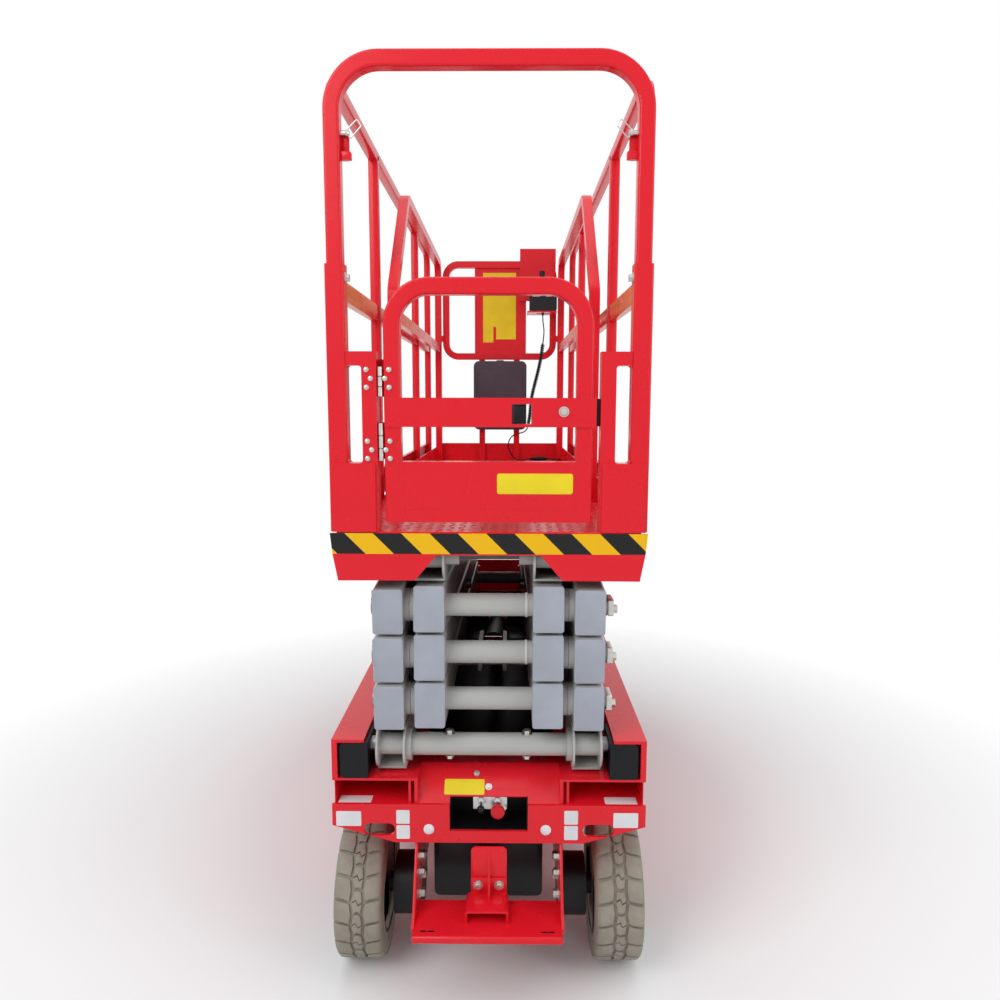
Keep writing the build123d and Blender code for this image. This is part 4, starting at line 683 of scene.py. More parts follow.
step_plate.bar(hat, (0, 1, 0), HAT_DEPTH, STEP_PLATE, 0.001)
upright = rounded_outline((UPRIGHT_LEFT, hat_roof), (UPRIGHT_RIGHT, UPRIGHT_TOP), 0.012)
step_plate.prism(upright, STEP_PLATE, facing_rear(upright_y + STEP_PLATE), 0.001)
foot_low, foot_high = (UPRIGHT_LEFT, upright_y - 0.006, hat_roof), (UPRIGHT_RIGHT, upright_y, HAT_TOP + 0.040)
step_plate.block(foot_low, foot_high, 0.0015)
rib = [(upright_y, RIB_TOP), (upright_y, HAT_TOP - 0.002), (upright_y - RIB_REACH, HAT_TOP - 0.002)]
step_plate.prism(rib, 0.006, facing_side(-0.0015), 0.001)
folded_step = piece("step_plate", step_plate, red_enamel, "chassis")
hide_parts("rear_step")
# black patches where the step plate has slots: painted shade in place of the openings
slot_shade_patches = Shape()
for slot_x in (-0.157, -0.138, 0.139, 0.156):
    on_step = Matrix.Translation((slot_x, STEP_NEAR + 0.022, STEP_TOP))
    slot_shade_patches.prism(rounded_outline((-0.008, -0.0025), (0.008, 0.0025), 0.0024), 0.0003, on_step)
piece("slot_shade_patches", slot_shade_patches, black_moulding, "chassis")

# black covered box under the pan, between the hub plates: a dark box that paints the shade of the space under
# the pan
box_body = rounded_outline((-0.150, 0.214), (0.143, 0.440), 0.016)
box_cover = rounded_outline((-0.142, 0.222), (0.135, 0.400), 0.012)
shade_box = Shape()
shade_box.prism(box_body, 0.160, facing_rear(rear + 0.260), 0.004)
shade_box.prism(box_cover, 0.003, facing_rear(rear + 0.100), 0.0015)
piece("shade_box", shade_box, black_moulding, "chassis")

# bolts of the step's upright and of the hub plates
UPRIGHT_BOLT = 0.027
chassis_bolts = Shape()
for bolt_x in (-UPRIGHT_BOLT, UPRIGHT_BOLT):
    chassis_bolts.bolt((bolt_x, upright_y - 0.006, 0.321), (0, -1, 0), 0.015, 0.009, 0.013)
HUB_PLATE = 0.182
HUB_BOLTS = [(0.035, 0.372), (0.035, 0.327), (0.035, 0.268), (0.075, 0.350), (0.075, 0.295)]
for side in (-1, 1):
    for bolt_y, bolt_z in HUB_BOLTS:
        chassis_bolts.bolt((side * HUB_PLATE, rear + bolt_y, bolt_z), (-side, 0, 0), 0.019, 0.014, 0.015)
piece("chassis_bolts", chassis_bolts, zinc, "chassis")

# black tray over the belly pan, under the lift cylinder: a dark sheet that paints the shade inside the
# chassis
TRAY_FLOOR, TRAY_HALF, TRAY_PLATE = 0.4365, 0.178, 0.004
TRAY_START, TRAY_END = rear + 0.330, 0.960
HOLE_START, HOLE_END, HOLE_HALF = 0.640, 0.790, 0.050
WALL_TOP, END_WALL_TOP = 0.585, 0.590
floor_top = TRAY_FLOOR + TRAY_PLATE
shade_tray = Shape()
shade_tray.block((-TRAY_HALF, TRAY_START, TRAY_FLOOR), (TRAY_HALF, HOLE_START, floor_top))
shade_tray.block((-TRAY_HALF, HOLE_END, TRAY_FLOOR), (TRAY_HALF, TRAY_END, floor_top))
for side in (-1, 1):
    near, far = sorted((side * HOLE_HALF, side * TRAY_HALF))
    shade_tray.block((near, HOLE_START, TRAY_FLOOR), (far, HOLE_END, floor_top))
    near, far = sorted((side * (TRAY_HALF - TRAY_PLATE), side * TRAY_HALF))
    shade_tray.block((near, TRAY_START, TRAY_FLOOR), (far, TRAY_END, WALL_TOP))
shade_tray.block((-TRAY_HALF, TRAY_END - TRAY_PLATE, TRAY_FLOOR), (TRAY_HALF, TRAY_END, END_WALL_TOP))
piece("shade_tray", shade_tray, black_moulding, "chassis")

# ---------------------------------------------------------------- wheels
# Solid non-marking tyres of grey rubber pressed on black steel rims. The tread is moulded in three
# rows: long shoulder blocks parted by slanted grooves, and a sliced middle row between them.
tyre_low, tyre_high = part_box("tyre_rear_right")
TYRE_RADIUS = tyre_high.z / 2
TYRE_HALF_WIDTH = (tyre_high.x - tyre_low.x) / 2
RIM_RADIUS = 0.128
TREAD_DEPTH = 0.007
SHOULDER = 0.014
TREAD_FLAT = TYRE_HALF_WIDTH - SHOULDER
BLOCKS_AROUND = 20
BLOCK_PITCH = 2 * math.pi * (TYRE_RADIUS - TREAD_DEPTH) / BLOCKS_AROUND
GROOVE = 0.0075
BLOCK_EDGE = 0.0012
STRIP = 0.0075
SUNK = 0.001
MIDDLE_ROW, ROW_PEAK, SLANT, SLIT = 0.0210, 0.0040, 0.010, 0.0016


def rubber(name, colour):
    """Grey tread rubber: blotched, paler where it was cut away from the mould, fine pitting."""
    finish = Finish(name, 0.72)
    blotch = finish.node("ValToRGB", {"stops": [(0.3, 0), (0.75, 1)]}, {0: finish.cloud(0.035, 5)})
    smear = finish.cloud(0.16, 3)
    mixed = finish.blend(blotch, shade(colour, 0.8), shade(colour, 1.12))
    finish.colour(finish.blend(smear * 0.5, mixed, shade(colour, 1.35)))
    finish.feed("Roughness", finish.cloud(0.03, 3) * 0.2 + 0.6)
    finish.relief(finish.cloud(0.0018, 3), 0.00012)
    return finish


grey_rubber = rubber("grey_tread_rubber", tone(146, 140, 127))


def on_tyre(around, across, height):
    """A point of the tread: around and across in metres on the flat, height over the groove floor."""
    angle = around / (TYRE_RADIUS - TREAD_DEPTH)
    floor_radius = SHOULDER - TREAD_DEPTH
    side = math.copysign(1.0, across)
    past = max(0.0, abs(across) - TREAD_FLAT) / (SHOULDER - TREAD_DEPTH / 2)
    along_axle = min(abs(across), TREAD_FLAT) + (floor_radius + height) * math.sin(past)
    radius = TYRE_RADIUS - SHOULDER + (floor_radius + height) * math.cos(past)
    return side * along_axle, radius * math.cos(angle), radius * math.sin(angle)


def tread_block(shape, outline):
    """One block of the tread, cut in strips so that it follows the tyre round."""
    part = raised(outline, -SUNK, TREAD_DEPTH + SUNK)
    sunk_faces = [face for face in part.faces if face.calc_center_median().z < 0]
    bmesh.ops.delete(part, geom=sunk_faces, context="FACES_ONLY")
    top_edges = [edge for edge in part.edges if all(vert.co.z > 0 for vert in edge.verts)]
    bmesh.ops.bevel(part, geom=top_edges, offset=BLOCK_EDGE, segments=2, profile=0.5, affect="EDGES")
    for axis, normal in enumerate((Vector((1, 0, 0)), Vector((0, 1, 0)))):
        places = [vert.co[axis] for vert in part.verts]
        cut = min(places) + STRIP
        while cut < max(places) - STRIP / 3:
            if axis == 0 or abs(cut) > TREAD_FLAT - STRIP:
                geometry = part.verts[:] + part.edges[:] + part.faces[:]
                bmesh.ops.bisect_plane(part, geom=geometry, plane_co=normal * cut, plane_no=normal)
            cut += STRIP
    for vert in part.verts:
        vert.co = on_tyre(*vert.co)
    bmesh.ops.recalc_face_normals(part, faces=part.faces)
    shape.add(part, Matrix.Identity(4))


def lugged_tyre():
    """A whole tyre about the X axis through the origin."""
    half = TYRE_HALF_WIDTH
    wall_top = TYRE_RADIUS - SHOULDER
    section = [(-half + 0.003, RIM_RADIUS), (-half, RIM_RADIUS + 0.004), (-half, RIM_RADIUS + 0.012)]
    section += [(-half + 0.002, RIM_RADIUS + 0.014), (-half + 0.002, RIM_RADIUS + 0.018)]
    section += [(-half, RIM_RADIUS + 0.020), (-half, wall_top - 0.004), (-half + 0.001, wall_top)]
    for angle in (math.radians(45), math.radians(90)):
        along = -half + SHOULDER * (1 - math.cos(angle))
        section.append((along, wall_top + (SHOULDER - TREAD_DEPTH) * math.sin(angle)))
    section += [(-along, radius) for along, radius in reversed(section)]
    shape = Shape().turned((0, 0, 0), (1, 0, 0), section + [section[0]], 96)
    long_block = BLOCK_PITCH - GROOVE
    bend, outer_end = MIDDLE_ROW + 0.012, TREAD_FLAT + 0.0125
    wide, narrow = MIDDLE_ROW - GROOVE, MIDDLE_ROW - ROW_PEAK - GROOVE
    for index in range(BLOCKS_AROUND):
        start = index * BLOCK_PITCH
        end = start + long_block
        for side in (-1, 1):
            peak = (start + long_block / 2, MIDDLE_ROW - ROW_PEAK)
            outline = [(start, MIDDLE_ROW), peak, (end, MIDDLE_ROW), (end + SLANT * 0.45, bend)]
            outline += [(end + SLANT, outer_end), (start + SLANT, outer_end), (start + SLANT * 0.45, bend)]
            outline = [(around, side * across) for around, across in outline]
            tread_block(shape, outline[::side])
        middle = start - GROOVE / 2
        for direction in (-1, 1):
            edge = middle + long_block / 2 * direction
            cut = middle + SLIT * direction
            outline = [(cut, wide), (cut + 0.006, 0.003), (cut - 0.006, -0.003), (cut, -wide)]
            outline += [(edge, -narrow), (edge + 0.004, 0), (edge, narrow)]
            tread_block(shape, outline[::-direction])
    return shape


rim_black = enamel("black_rim_enamel", tone(14, 14, 17), 0.36)
HUB_CAP = [(0, 0.043), (0.010, 0.043), (0.014, 0.038), (0.016, 0.030), (0.016, 0)]
HUB_INSET = 0.028
NUTS, NUT_CIRCLE = 5, 0.070
for corner in ("rear_left", "rear_right", "front_left", "front_right"):
    body = "wheel_" + corner
    low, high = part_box("tyre_" + corner)
    centre = (low + high) / 2
    side = math.copysign(1.0, centre.x)
    tyre = lugged_tyre()
    bmesh.ops.transform(tyre.mesh, matrix=Matrix.Diagonal((side, side, 1, 1)), verts=tyre.mesh.verts[:])
    bmesh.ops.translate(tyre.mesh, vec=centre, verts=tyre.mesh.verts[:])
    tread = piece("tread_" + corner, tyre, grey_rubber, body)
    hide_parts("tyre_" + corner)
    dress(rim_black, "rim_" + corner)
    face = centre.x + side * (TYRE_HALF_WIDTH - HUB_INSET)
    hub = Shape().turned((face, centre.y, centre.z), (side, 0, 0), HUB_CAP, 36)
    piece("hub_cap_" + corner, hub, zinc, body)
    nuts = Shape()
    for index in range(NUTS):
        angle = 2 * math.pi * index / NUTS
        nut_y = centre.y + NUT_CIRCLE * math.cos(angle)
        nut_z = centre.z + NUT_CIRCLE * math.sin(angle)
        nuts.bolt((face - side * 0.002, nut_y, nut_z), (side, 0, 0), 0.021, 0.014, 0.013)
    piece("wheel_nuts_" + corner, nuts, zinc, body)

# ---------------------------------------------------------------- hubs and steering
# Cast iron drum housings and knuckles, with a steel tie rod between the knuckles, in slightly rough
# black chassis paint. The power unit in the left tray wears the same paint.
black_casting = enamel("black_casting", tone(9, 9, 12), 0.45, edge=0.003)
dress(black_casting, "rear_drums", "knuckle_left", "knuckle_right", "tie_rod", "power_unit")

# ---------------------------------------------------------------- scissor arms
# Rectangular steel tube in grey enamel, in four pairs of inner and outer arms. The tube ends are
# closed by blue-grey caps; pins have round heads on the left and bolted retainers on the right.
GREY = tone(180, 180, 176)
CAP_GREY = tone(165, 169, 180)
grey_enamel = enamel("grey_enamel", GREY, 0.3)
cap_plastic = moulded("arm_cap_plastic", CAP_GREY, 0.5)
white_nylon = moulded("white_nylon", tone(214, 214, 208), 0.45)
black_nylon = moulded("black_nylon", tone(12, 13, 17), 0.5)
STAGES = 4
dress(grey_enamel, "inner_arms_1", "inner_arms_2", "inner_arms_3")
dress(grey_enamel, "outer_arms_2", "outer_arms_3", "outer_arms_4")
pin_steel = plated("dull_pin_steel", (0.30, 0.30, 0.31, 1.0), 0.4)
dress(pin_steel, "pins_1", "pins_2", "pins_3", "pins_4")
dress(black_nylon, "lower_slide_blocks", "upper_slide_blocks")
pivots = {joint["name"]: Vector(joint.get("pos_m") or (0, 0, 0)) for joint in frame["joints"]}
REAR_PINS = [pivots["lower_slide_pins"]] + [pivots[f"rear_pins_{k}"] for k in (1, 2, 3)]
REAR_PINS += [pivots["upper_slide_pins"]]
front_pin = pivots["lift"]
ARM_HEIGHT = 0.116
ARM_END = 0.060
CAP = 0.005
ARM_SIDES = {"inner": (0.110, 0.187), "outer": (0.214, 0.290)}


def arm_line(kind, stage):
    """Rear pin, and unit vector from the rear pin to the front pin, of one arm pair."""
    level_step = (REAR_PINS[1] - REAR_PINS[0]).z
    start = REAR_PINS[stage if kind == "inner" else stage - 1]
    rise = -level_step if kind == "inner" else level_step
    along = Vector((0, front_pin.y - start.y, rise))
    return start, along.normalized(), along.length


for kind, (near, far) in ARM_SIDES.items():
    half_width, half_height = (far - near) / 2, ARM_HEIGHT / 2
    cap = rounded_outline((-half_width, -half_height), (half_width, half_height), 0.006, 3)
    for stage in range(1, STAGES + 1):
        start, along, length = arm_line(kind, stage)
        upright = along.cross(Vector((1, 0, 0)))
        if upright.z < 0:
            upright = -upright
        caps = Shape()
        ends = []
        if (kind, stage) not in (("inner", 4), ("outer", 1)):
            ends.append((start - along * ARM_END, -along))
        if (kind, stage) not in (("inner", 1), ("outer", 4)):
            ends.append((start + along * (length + ARM_END), along))
        for end, outward in ends:
            for side in (-1, 1):
                place = end + Vector((side * (near + far) / 2, 0, 0))
                caps.prism(cap, CAP, axes(upright.cross(outward), upright, outward, place), 0.0018)
        piece(f"{kind}_caps_{stage}", caps, cap_plastic, f"{kind}_{stage}")

# the lowest outer pair and the highest inner pair end in open ears, rounded about their rear pins
ARM_WALL = 0.006
EAR_STEPS = 12
SLEEVE, BOSS, CROSS_TUBE, SHAFT = 0.028, 0.042, 0.029, 0.020  # radii
SHAFT_INSIDE = 0.034
COLLAR = [(0, 0.040), (0.008, 0.040), (0.010, 0.038), (0.010, 0.029)]
SECOND_TUBE = 0.160  # along the inner arms from their rear pins
BOSS_PLANE = 0.2005
SHAFT_END = 0.362


def ear_arms(kind, stage):
    """The pair of tubes with its ears, sleeves, boss discs and cross tubes."""
    shape = Shape()
    near, far = ARM_SIDES[kind]
    start, along, length = arm_line(kind, stage)
    upright = Vector((1, 0, 0)).cross(along)
    half = ARM_HEIGHT / 2
    angles = [math.pi * step / EAR_STEPS for step in range(EAR_STEPS + 1)]
    ear = [(-half * math.sin(angle), half * math.cos(angle)) for angle in angles]
    wall = ear + [(length + ARM_END, -half), (length + ARM_END, half)]
    wall_start = -math.sqrt(half ** 2 - (half - ARM_WALL) ** 2)
    for side in (-1, 1):
        for wall_x in (near, far - ARM_WALL):
            low_x = wall_x if side > 0 else -wall_x - ARM_WALL
            plane = axes(along, upright, (1, 0, 0), (low_x, start.y, start.z))
            shape.prism(wall, ARM_WALL, plane, 0.0012)
        flat = axes((1, 0, 0), along, upright, (near if side > 0 else -far, start.y, start.z))
        sheet_end, sheet_far = length + ARM_END, far - near - 0.001
        sheet = [(0.001, wall_start), (sheet_far, wall_start), (sheet_far, sheet_end), (0.001, sheet_end)]
        for low in (-half, half - ARM_WALL):
            shape.prism(sheet, ARM_WALL, flat @ Matrix.Translation((0, 0, low)), 0.001)
        boss_from, boss_to = (far, BOSS_PLANE) if kind == "inner" else (BOSS_PLANE, near)
        for place in (0, length / 2, length):
            pivot = start + along * place
            inside = pivot + Vector((side * (near + 0.001), 0, 0))
            shape.turned(inside, (side, 0, 0), [(0, SLEEVE), (far - near - 0.002, SLEEVE)], 32)
            disc_start = pivot + Vector((side * (boss_from + 0.0004), 0, 0))
            disc_end = boss_to - boss_from - 0.0008
            disc = [(0, SHAFT), (0, BOSS), (disc_end, BOSS), (disc_end, SHAFT)]
            shape.turned(disc_start, (side, 0, 0), disc, 40)
        if kind == "inner":
            reach = SHAFT_END - near + SHAFT_INSIDE
            shaft = [(0, 0), (0, SHAFT), (reach, SHAFT), (reach, 0)]
            shape.turned(start + Vector((side * (near - SHAFT_INSIDE), 0, 0)), (side, 0, 0), shaft, 32)
    for along_arm in ((0,) if kind == "outer" else (SECOND_TUBE, length)):
        middle = start + along * along_arm
        shape.turned(middle - Vector((near, 0, 0)), (1, 0, 0), [(0, CROSS_TUBE), (2 * near, CROSS_TUBE)], 40)
        for side in (-1, 1):
            shape.turned(middle + Vector((side * near, 0, 0)), (-side, 0, 0), COLLAR, 40)
    arms = piece(f"{kind}_ear_arms_{stage}", shape, grey_enamel, f"{kind}_{stage}")
    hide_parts(f"{kind}_arms_{stage}")


ear_arms("outer", 1)
ear_arms("inner", 4)

# keeper plates with their bolts, on the right ends of the rear pins
KEEPER_X, KEEPER = 0.2995, 0.014
for level in (1, 2, 3):
    keeper = Shape()
    pin = REAR_PINS[level]
    block = Matrix.Translation((KEEPER_X, pin.y, pin.z)) @ Matrix.Rotation(math.pi / 2, 4, "Y")
    keeper.prism(rounded_outline((-0.021, -0.032), (0.021, 0.032), 0.005), KEEPER, block, 0.002)
    keeper.bolt((KEEPER_X + KEEPER, pin.y - 0.014, pin.z - 0.006), (1, 0, 0), 0.019, 0.011, 0.012)
    piece(f"pin_keeper_{level}", keeper, zinc, f"outer_{level + 1}")

# white nylon rings on the right ends of the upper cross tubes
RING_START = 0.0915
RING = [(0, 0.0295), (0, 0.0315), (0.0055, 0.0315), (0.0055, 0.0295)]
for stage in (2, 3):
    pin = REAR_PINS[stage]
    ring = Shape().turned((RING_START, pin.y, pin.z), (1, 0, 0), RING, 40)
    piece(f"nylon_ring_{stage}", ring, white_nylon, f"inner_{stage}")

# through bolts of the lowest cross tube
TUBE_BOLTS = (-0.103, 0.098)
tube_bolts = Shape()
for bolt_x in TUBE_BOLTS:
    for up in (-1, 1):
        seat = REAR_PINS[0] + Vector((bolt_x, 0, up * 0.0285))
        tube_bolts.bolt(seat, (0, 0, up), 0.019, 0.011, 0.014)
piece("cross_tube_bolts", tube_bolts, zinc, "outer_1")

# ---------------------------------------------------------------- lift cylinder
# The barrel is drawn steel tube in black enamel, pinned to its mount in the chassis. The rod is
# ground steel with hard chrome, pinned between the lugs of the first inner arms.
dress(black_casting, "cylinder_barrel")
chrome = plated("hard_chrome", (0.8, 0.8, 0.82, 1.0), 0.16, scratch=0.0008)
dress(chrome, "cylinder_rod")

# ---------------------------------------------------------------- platform deck and skirt
# Folded red plate. The floor is chequer plate; the rear skirt carries a band of black and yellow
# warning stripes along its top.
dress(red_enamel, "platform_deck", "top_brackets", "extension_deck")
skirt_low, skirt_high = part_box("rear_skirt")
STRIPE_BOTTOM = 1.181
STRIPE_WIDTH = 0.0692
STRIPE_START = 0.0335
striped = enamel("striped_enamel", RED)
place_x, place_y, place_z = striped.part_of_place()
slanted = (place_x + STRIPE_START - (skirt_high.z - place_z) - skirt_low.x) / (2 * STRIPE_WIDTH)
dark = slanted.math("FRACT", slanted) < 0.5
in_band = (place_z > STRIPE_BOTTOM) * (place_y < rear + 0.001)
yellow_black = striped.blend(dark, tone(240, 185, 0), tone(15, 15, 17))
striped.colour_over(in_band, yellow_black)
dress(striped, "rear_skirt")

LOZENGE_LONG, LOZENGE_WIDE = 0.026, 0.0055
LOZENGE_PITCH = 0.027
LOZENGE_RISE = 0.0011
LOZENGE_CROWN = 0.7


def chequer(name, x_span, y_span, z, body):
    """Raised lozenges of chequer plate, in two directions turn about."""
    shape = Shape()
    tip, hip, half_wide = LOZENGE_LONG / 2, LOZENGE_LONG * 0.225, LOZENGE_WIDE / 2
    corners = [(-tip, 0), (-hip, -half_wide), (hip, -half_wide)]
    corners += [(-x, -y) for x, y in corners]
    columns = int((x_span[1] - x_span[0]) / LOZENGE_PITCH)
    rows = int((y_span[1] - y_span[0]) / LOZENGE_PITCH)
    for column in range(columns):
        for row in range(rows):
            x = x_span[0] + (column + 0.5) * (x_span[1] - x_span[0]) / columns
            y = y_span[0] + (row + 0.5) * (y_span[1] - y_span[0]) / rows
            angle = math.radians(45 if (column + row) % 2 else -45)
            spot = Matrix.Translation((x, y, z)) @ Matrix.Rotation(angle, 4, "Z")
            rim, crown = [
                [shape.mesh.verts.new(spot @ Vector((a * share, b * share, height))) for a, b in corners]
                for share, height in ((1.0, 0.0), (LOZENGE_CROWN, LOZENGE_RISE))
            ]
            shape.mesh.faces.new(crown)
            for index in range(len(corners)):
                after = (index + 1) % len(corners)
                shape.mesh.faces.new((rim[index], rim[after], crown[after], crown[index]))
    return piece(name, shape, red_enamel, body, crease=20)


deck_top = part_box("platform_deck")[1].z
ext_low, ext_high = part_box("extension_deck")
ext_plate_top = deck_top + 0.0053
chequer("deck_chequer", (-0.330, 0.330), (rear + 0.010, ext_low.y - 0.004), deck_top, "platform")
ext_span = (ext_low.y + 0.006, ext_high.y - 0.012)
chequer("extension_chequer", (-0.322, 0.322), ext_span, ext_plate_top, "extension")

# ---------------------------------------------------------------- rear frame and rails
# Square tube bent and welded, gloss red; the flat mid rails show an orange cast near the gate end.
# The rear hoop lifts out of its sockets, held by sprung pins with wire bails.
dress(red_enamel, "rear_frame", "rear_rail")
side_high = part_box("side_rails")[1]
SIDE_TUBE = 0.030
SIDE_BEND = 0.060
MID_BOTTOM, MID_TOP, MID_DEPTH = 1.800, 1.850, 0.026
TOE_TOP, TOE_PLATE, TOE_HEM = 1.330, 0.004, 0.014
RAIL_START = rear + 0.067
POSTS = (rear + 0.645, rear + 1.700)
rail_end = side_high.y - SIDE_TUBE / 2
rail_z = side_high.z - SIDE_TUBE / 2
mid_z = (MID_BOTTOM + MID_TOP) / 2
side_rails = Shape()
mid_rails = Shape()
for side in (-1, 1):
    tube_x = side * (side_high.x - SIDE_TUBE / 2)
    hoop = [(RAIL_START, deck_top), (RAIL_START, rail_z), (rail_end, rail_z), (rail_end, deck_top)]
    hoop = rounded_path([(tube_x, y, z) for y, z in hoop], SIDE_BEND)
    side_rails.bar(hoop, (1, 0, 0), SIDE_TUBE, SIDE_TUBE)
    for post_y in POSTS:
        post = [(tube_x, post_y, deck_top), (tube_x, post_y, rail_z)]
        side_rails.bar(post, (1, 0, 0), SIDE_TUBE, SIDE_TUBE)
    edge_x, hem_x, inner_x = (side * (side_high.x - inset) for inset in (0, TOE_HEM, TOE_PLATE))
    board = [(edge_x, deck_top), (edge_x, TOE_TOP), (hem_x, TOE_TOP), (hem_x, TOE_TOP - TOE_PLATE)]
    board += [(inner_x, TOE_TOP - TOE_PLATE), (inner_x, deck_top)]
    side_rails.prism(board, rail_end - RAIL_START, facing_rear(rail_end), 0.0006)
    mid_x = side * (side_high.x - MID_DEPTH / 2)
    mid_rail = [(mid_x, RAIL_START, mid_z), (mid_x, rail_end, mid_z)]
    mid_rails.bar(mid_rail, (1, 0, 0), MID_DEPTH, MID_TOP - MID_BOTTOM)
guard = piece("side_guard_rails", side_rails, red_enamel, "platform")
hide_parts("side_rails")
mid_enamel = enamel("mid_rail_enamel", RED)
along_y = mid_enamel.part_of_place()[1]
ORANGE_LENGTH = 0.62
warm = ((1 - (along_y - rear) / ORANGE_LENGTH) * 3).clipped()
mid_enamel.colour_over(warm, tone(222, 112, 30))
piece("mid_rails", mid_rails, mid_enamel, "platform")

BOSS_PIN = [(0, 0.006), (0.012, 0.006), (0.013, 0.0085), (0.018, 0.008), (0.021, 0.005), (0.0215, 0)]
BAIL = [(0.334, 2.172), (0.3055, 2.199), (0.296, 2.184), (0.322, 2.156), (0.334, 2.172)]
BAIL_WIRE = 0.0026
PIN_Z, PIN_Y = 2.168, rear + 0.028
TABS = [  # outline, thickness, place behind the pin, edge
    (rounded_outline((0.326, 2.108), (0.346, 2.176), 0.004), 0.003, 0.010, 0.0008),
    (rounded_outline((0.320, 2.108), (0.346, 2.126), 0.003), 0.014, 0.007, 0.0015),
]
fold_pins = Shape()
pin_brackets = Shape()
for side in (-1, 1):
    fold_pins.bolt((side * 0.341, rear + 0.029, 1.842), (-side, 0, 0), 0.017, 0.010, 0.013)
    fold_pins.turned((side * 0.345, PIN_Y, PIN_Z), (-side, 0, 0), BOSS_PIN, 20)
    bail = rounded_path([(side * x, PIN_Y, z) for x, z in BAIL], 0.003, 3)
    fold_pins.bar(bail, (0, 1, 0), BAIL_WIRE, BAIL_WIRE, BAIL_WIRE * 0.35)
    for tab, thickness, behind, edge in TABS:
        tab = [(side * x, z) for x, z in tab]
        pin_brackets.prism(tab[::side], thickness, facing_rear(PIN_Y + behind), edge)
piece("fold_pins", fold_pins, zinc, "platform")
piece("fold_pin_brackets", pin_brackets, red_enamel, "platform")

# ---------------------------------------------------------------- gate
# Half-height red tube gate on two zinc butt hinges. It has a blank yellow plate on its lower panel,
# a scored line near its foot, and in its middle rail a plated pin and a black latch.
dress(red_enamel, "gate")
on_panel = facing_rear(rear + 0.010)
gate_plate = Shape().prism(rounded_outline((0.020, 1.328), (0.204, 1.378), 0.006), 0.0012, on_panel, 0.0003)
piece("gate_plate", gate_plate, yellow_vinyl, "gate")
score_line = Shape().prism(rounded_outline((-0.208, 1.2895), (0.206, 1.2912), 0.0008, 2), 0.0008, on_panel)
piece("gate_score_line", score_line, red_enamel, "gate")
LATCH_PIN = [(0, 0.0125), (0.001, 0.0125), (0.001, 0.0095), (0.006, 0.0095), (0.0078, 0.008), (0.008, 0)]
latch_pin = Shape().turned((0.180, rear + 0.004, 1.527), (0, -1, 0), LATCH_PIN, 28)
piece("latch_pin", latch_pin, zinc, "gate")
latch_body = Shape().block((0.0605, rear + 0.010, 1.499), (0.088, rear + 0.030, 1.543), 0.002)
piece("latch_body", latch_body, black_moulding, "gate")
latch_keeper = Shape().block((0.2590, rear + 0.012, 1.492), (0.2675, rear + 0.040, 1.558), 0.002)
piece("latch_keeper", latch_keeper, black_moulding, "platform")

HINGE_X = -0.260
HINGES = [(1.408, 1.500), (1.562, 1.634)]
KNUCKLES = 3
BOLT_ROWS = [(0.0, 0.032, 0.022), (0.021, 0.022, 0.012), (0.042, 0.032, 0.022)]  # rise, fixed, swinging
hinge_barrels = Shape()
fixed_bolts, swing_bolts = Shape(), Shape()
for low_z, high_z in HINGES:
    tall = (high_z - low_z) / KNUCKLES
    knuckle = [(0, 0), (0, 0.005), (0.001, 0.006), (tall - 0.002, 0.006)]
    knuckle += [(tall - 0.001, 0.005), (tall - 0.001, 0)]
    for index in range(KNUCKLES):
        hinge_barrels.turned((HINGE_X, rear + 0.010, low_z + tall * index), (0, 0, 1), knuckle, 16)
for foot_z in (1.414, 1.584):
    for rise, fixed_out, swing_out in BOLT_ROWS:
        for bolts, bolt_x, leaf in ((fixed_bolts, -fixed_out, 0.006), (swing_bolts, swing_out, 0.008)):
            bolts.bolt((HINGE_X + bolt_x, rear + leaf, foot_z + rise), (0, -1, 0), 0.0095, 0.005, 0.0062)
piece("hinge_barrels", hinge_barrels, zinc, "platform")
piece("hinge_bolts_fixed", fixed_bolts, zinc, "platform")
piece("hinge_bolts_gate", swing_bolts, zinc, "gate")

# ---------------------------------------------------------------- extension
# A deck of folded plate slides out of the front of the platform. Its rails and its front frame are
# bent tube, welded and sprayed gloss red like the platform's own.
dress(red_enamel, "extension_rails", "front_rail", "control_bracket")

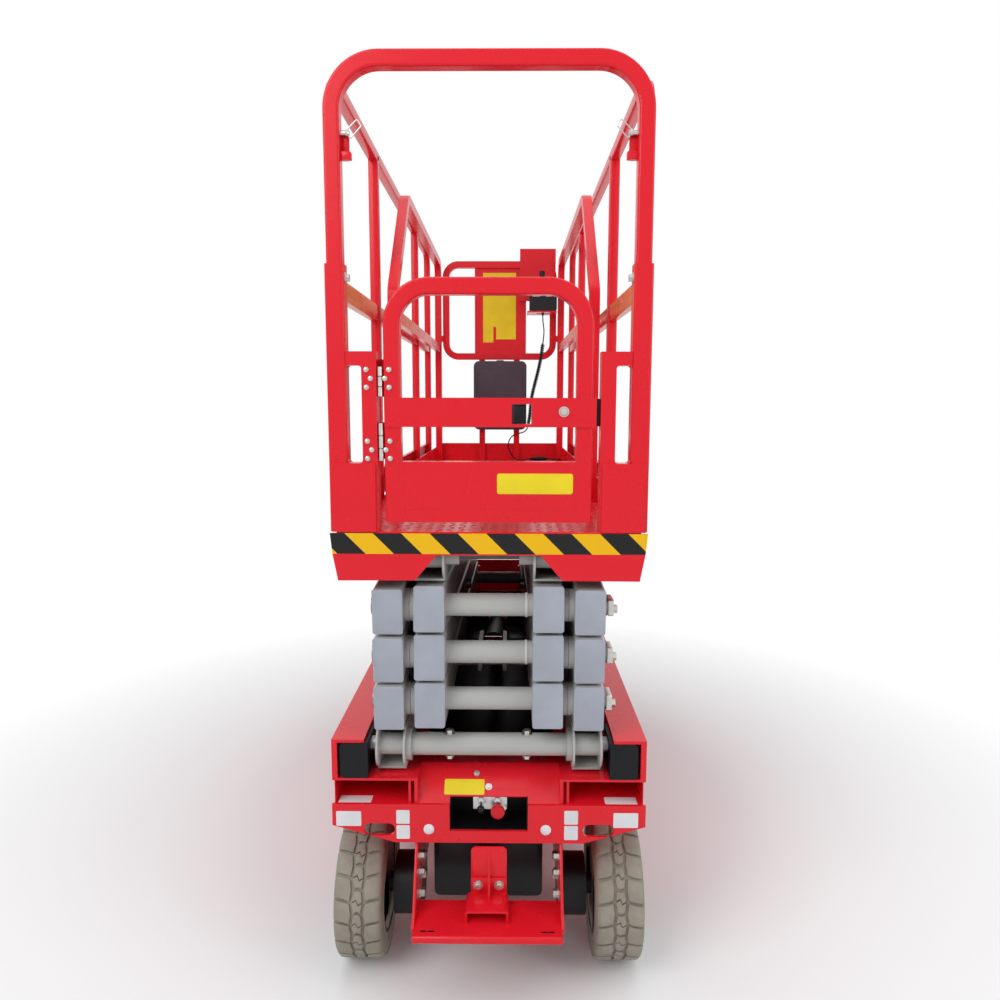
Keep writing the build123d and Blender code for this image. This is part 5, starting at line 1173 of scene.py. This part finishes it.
# ---------------------------------------------------------------- boxes
# The document box is moulded in grained plum-grey plastic, with a lid panel and a lifting tab. The
# control box is black plastic with two blank labels and a joystick. The front frame's panel
# carries a blank yellow placard.
box_plastic = moulded("document_box_plastic", tone(74, 62, 72), 0.5, grain=0.0012, depth=0.0001)
control_plastic = moulded("control_box_plastic", tone(28, 29, 33), 0.36)
dress(control_plastic, "control_box")
control_low, control_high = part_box("control_box")
control_face = control_low.y
control_labels = Shape()
for left, bottom, right, top in ((0.163, 2.066, 0.203, 2.096), (0.231, 2.066, 0.261, 2.098)):
    label = rounded_outline((left, bottom), (right, top), LABEL_CORNER)
    control_labels.prism(label, VINYL, facing_rear(control_face))
piece("control_labels", control_labels, white_vinyl, "extension")
STICK = [(0, 0.026), (0.010, 0.026), (0.014, 0.020), (0.022, 0.010), (0.040, 0.008), (0.044, 0.013)]
STICK += [(0.066, 0.015), (0.074, 0.011), (0.077, 0)]
joystick = Shape().turned((0.214, control_face + 0.050, control_high.z), (0, 0, 1), STICK, 28)
piece("joystick", joystick, black_moulding, "extension")
document_low, document_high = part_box("document_box")
DOCUMENT_CORNER = 0.028
document = Shape()
case_high = (document_high.x, document_high.z - 0.004)
case = rounded_outline((document_low.x, document_low.z), case_high, DOCUMENT_CORNER, 6)
case_depth = document_high.y - document_low.y - 0.003
document.prism(case, case_depth, facing_rear(document_high.y), 0.006, 3)
lid_high = (document_high.x - 0.022, document_high.z - 0.050)
lid = rounded_outline((document_low.x + 0.022, document_low.z + 0.030), lid_high, 0.012)
document.prism(lid, 0.0029, facing_rear(document_low.y + 0.003), 0.0012)
middle_x = (document_low.x + document_high.x) / 2
tab_high = (middle_x + 0.022, document_high.z)
tab = rounded_outline((middle_x - 0.022, document_high.z - 0.020), tab_high, 0.008)
document.prism(tab, 0.020, facing_rear(document_low.y + 0.024), 0.003)
wallet = piece("document_case", document, box_plastic, "extension")
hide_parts("document_box")
PLACARD = [(-0.085, 2.204), (-0.085, 1.853), (-0.032, 1.853), (-0.032, 1.932), (-0.018, 1.932)]
PLACARD += [(-0.018, 1.869), (0.084, 1.869), (0.084, 2.204)]
PLACARD_INSET = 0.0285
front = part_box("chassis_frame")[1].y
plates = Shape().prism(PLACARD, VINYL, facing_rear(front - PLACARD_INSET))
piece("placard_plates", plates, yellow_vinyl, "extension")

# ---------------------------------------------------------------- side trays
# Folded plate in gloss red, each tray on a hinge at one end. The right one holds the battery pack
# in its dark plastic case, the left one pump, motor and tank.
dress(red_enamel, "tray_left", "tray_right")
battery_case = moulded("battery_case", tone(40, 40, 44), 0.5)
dress(battery_case, "batteries")
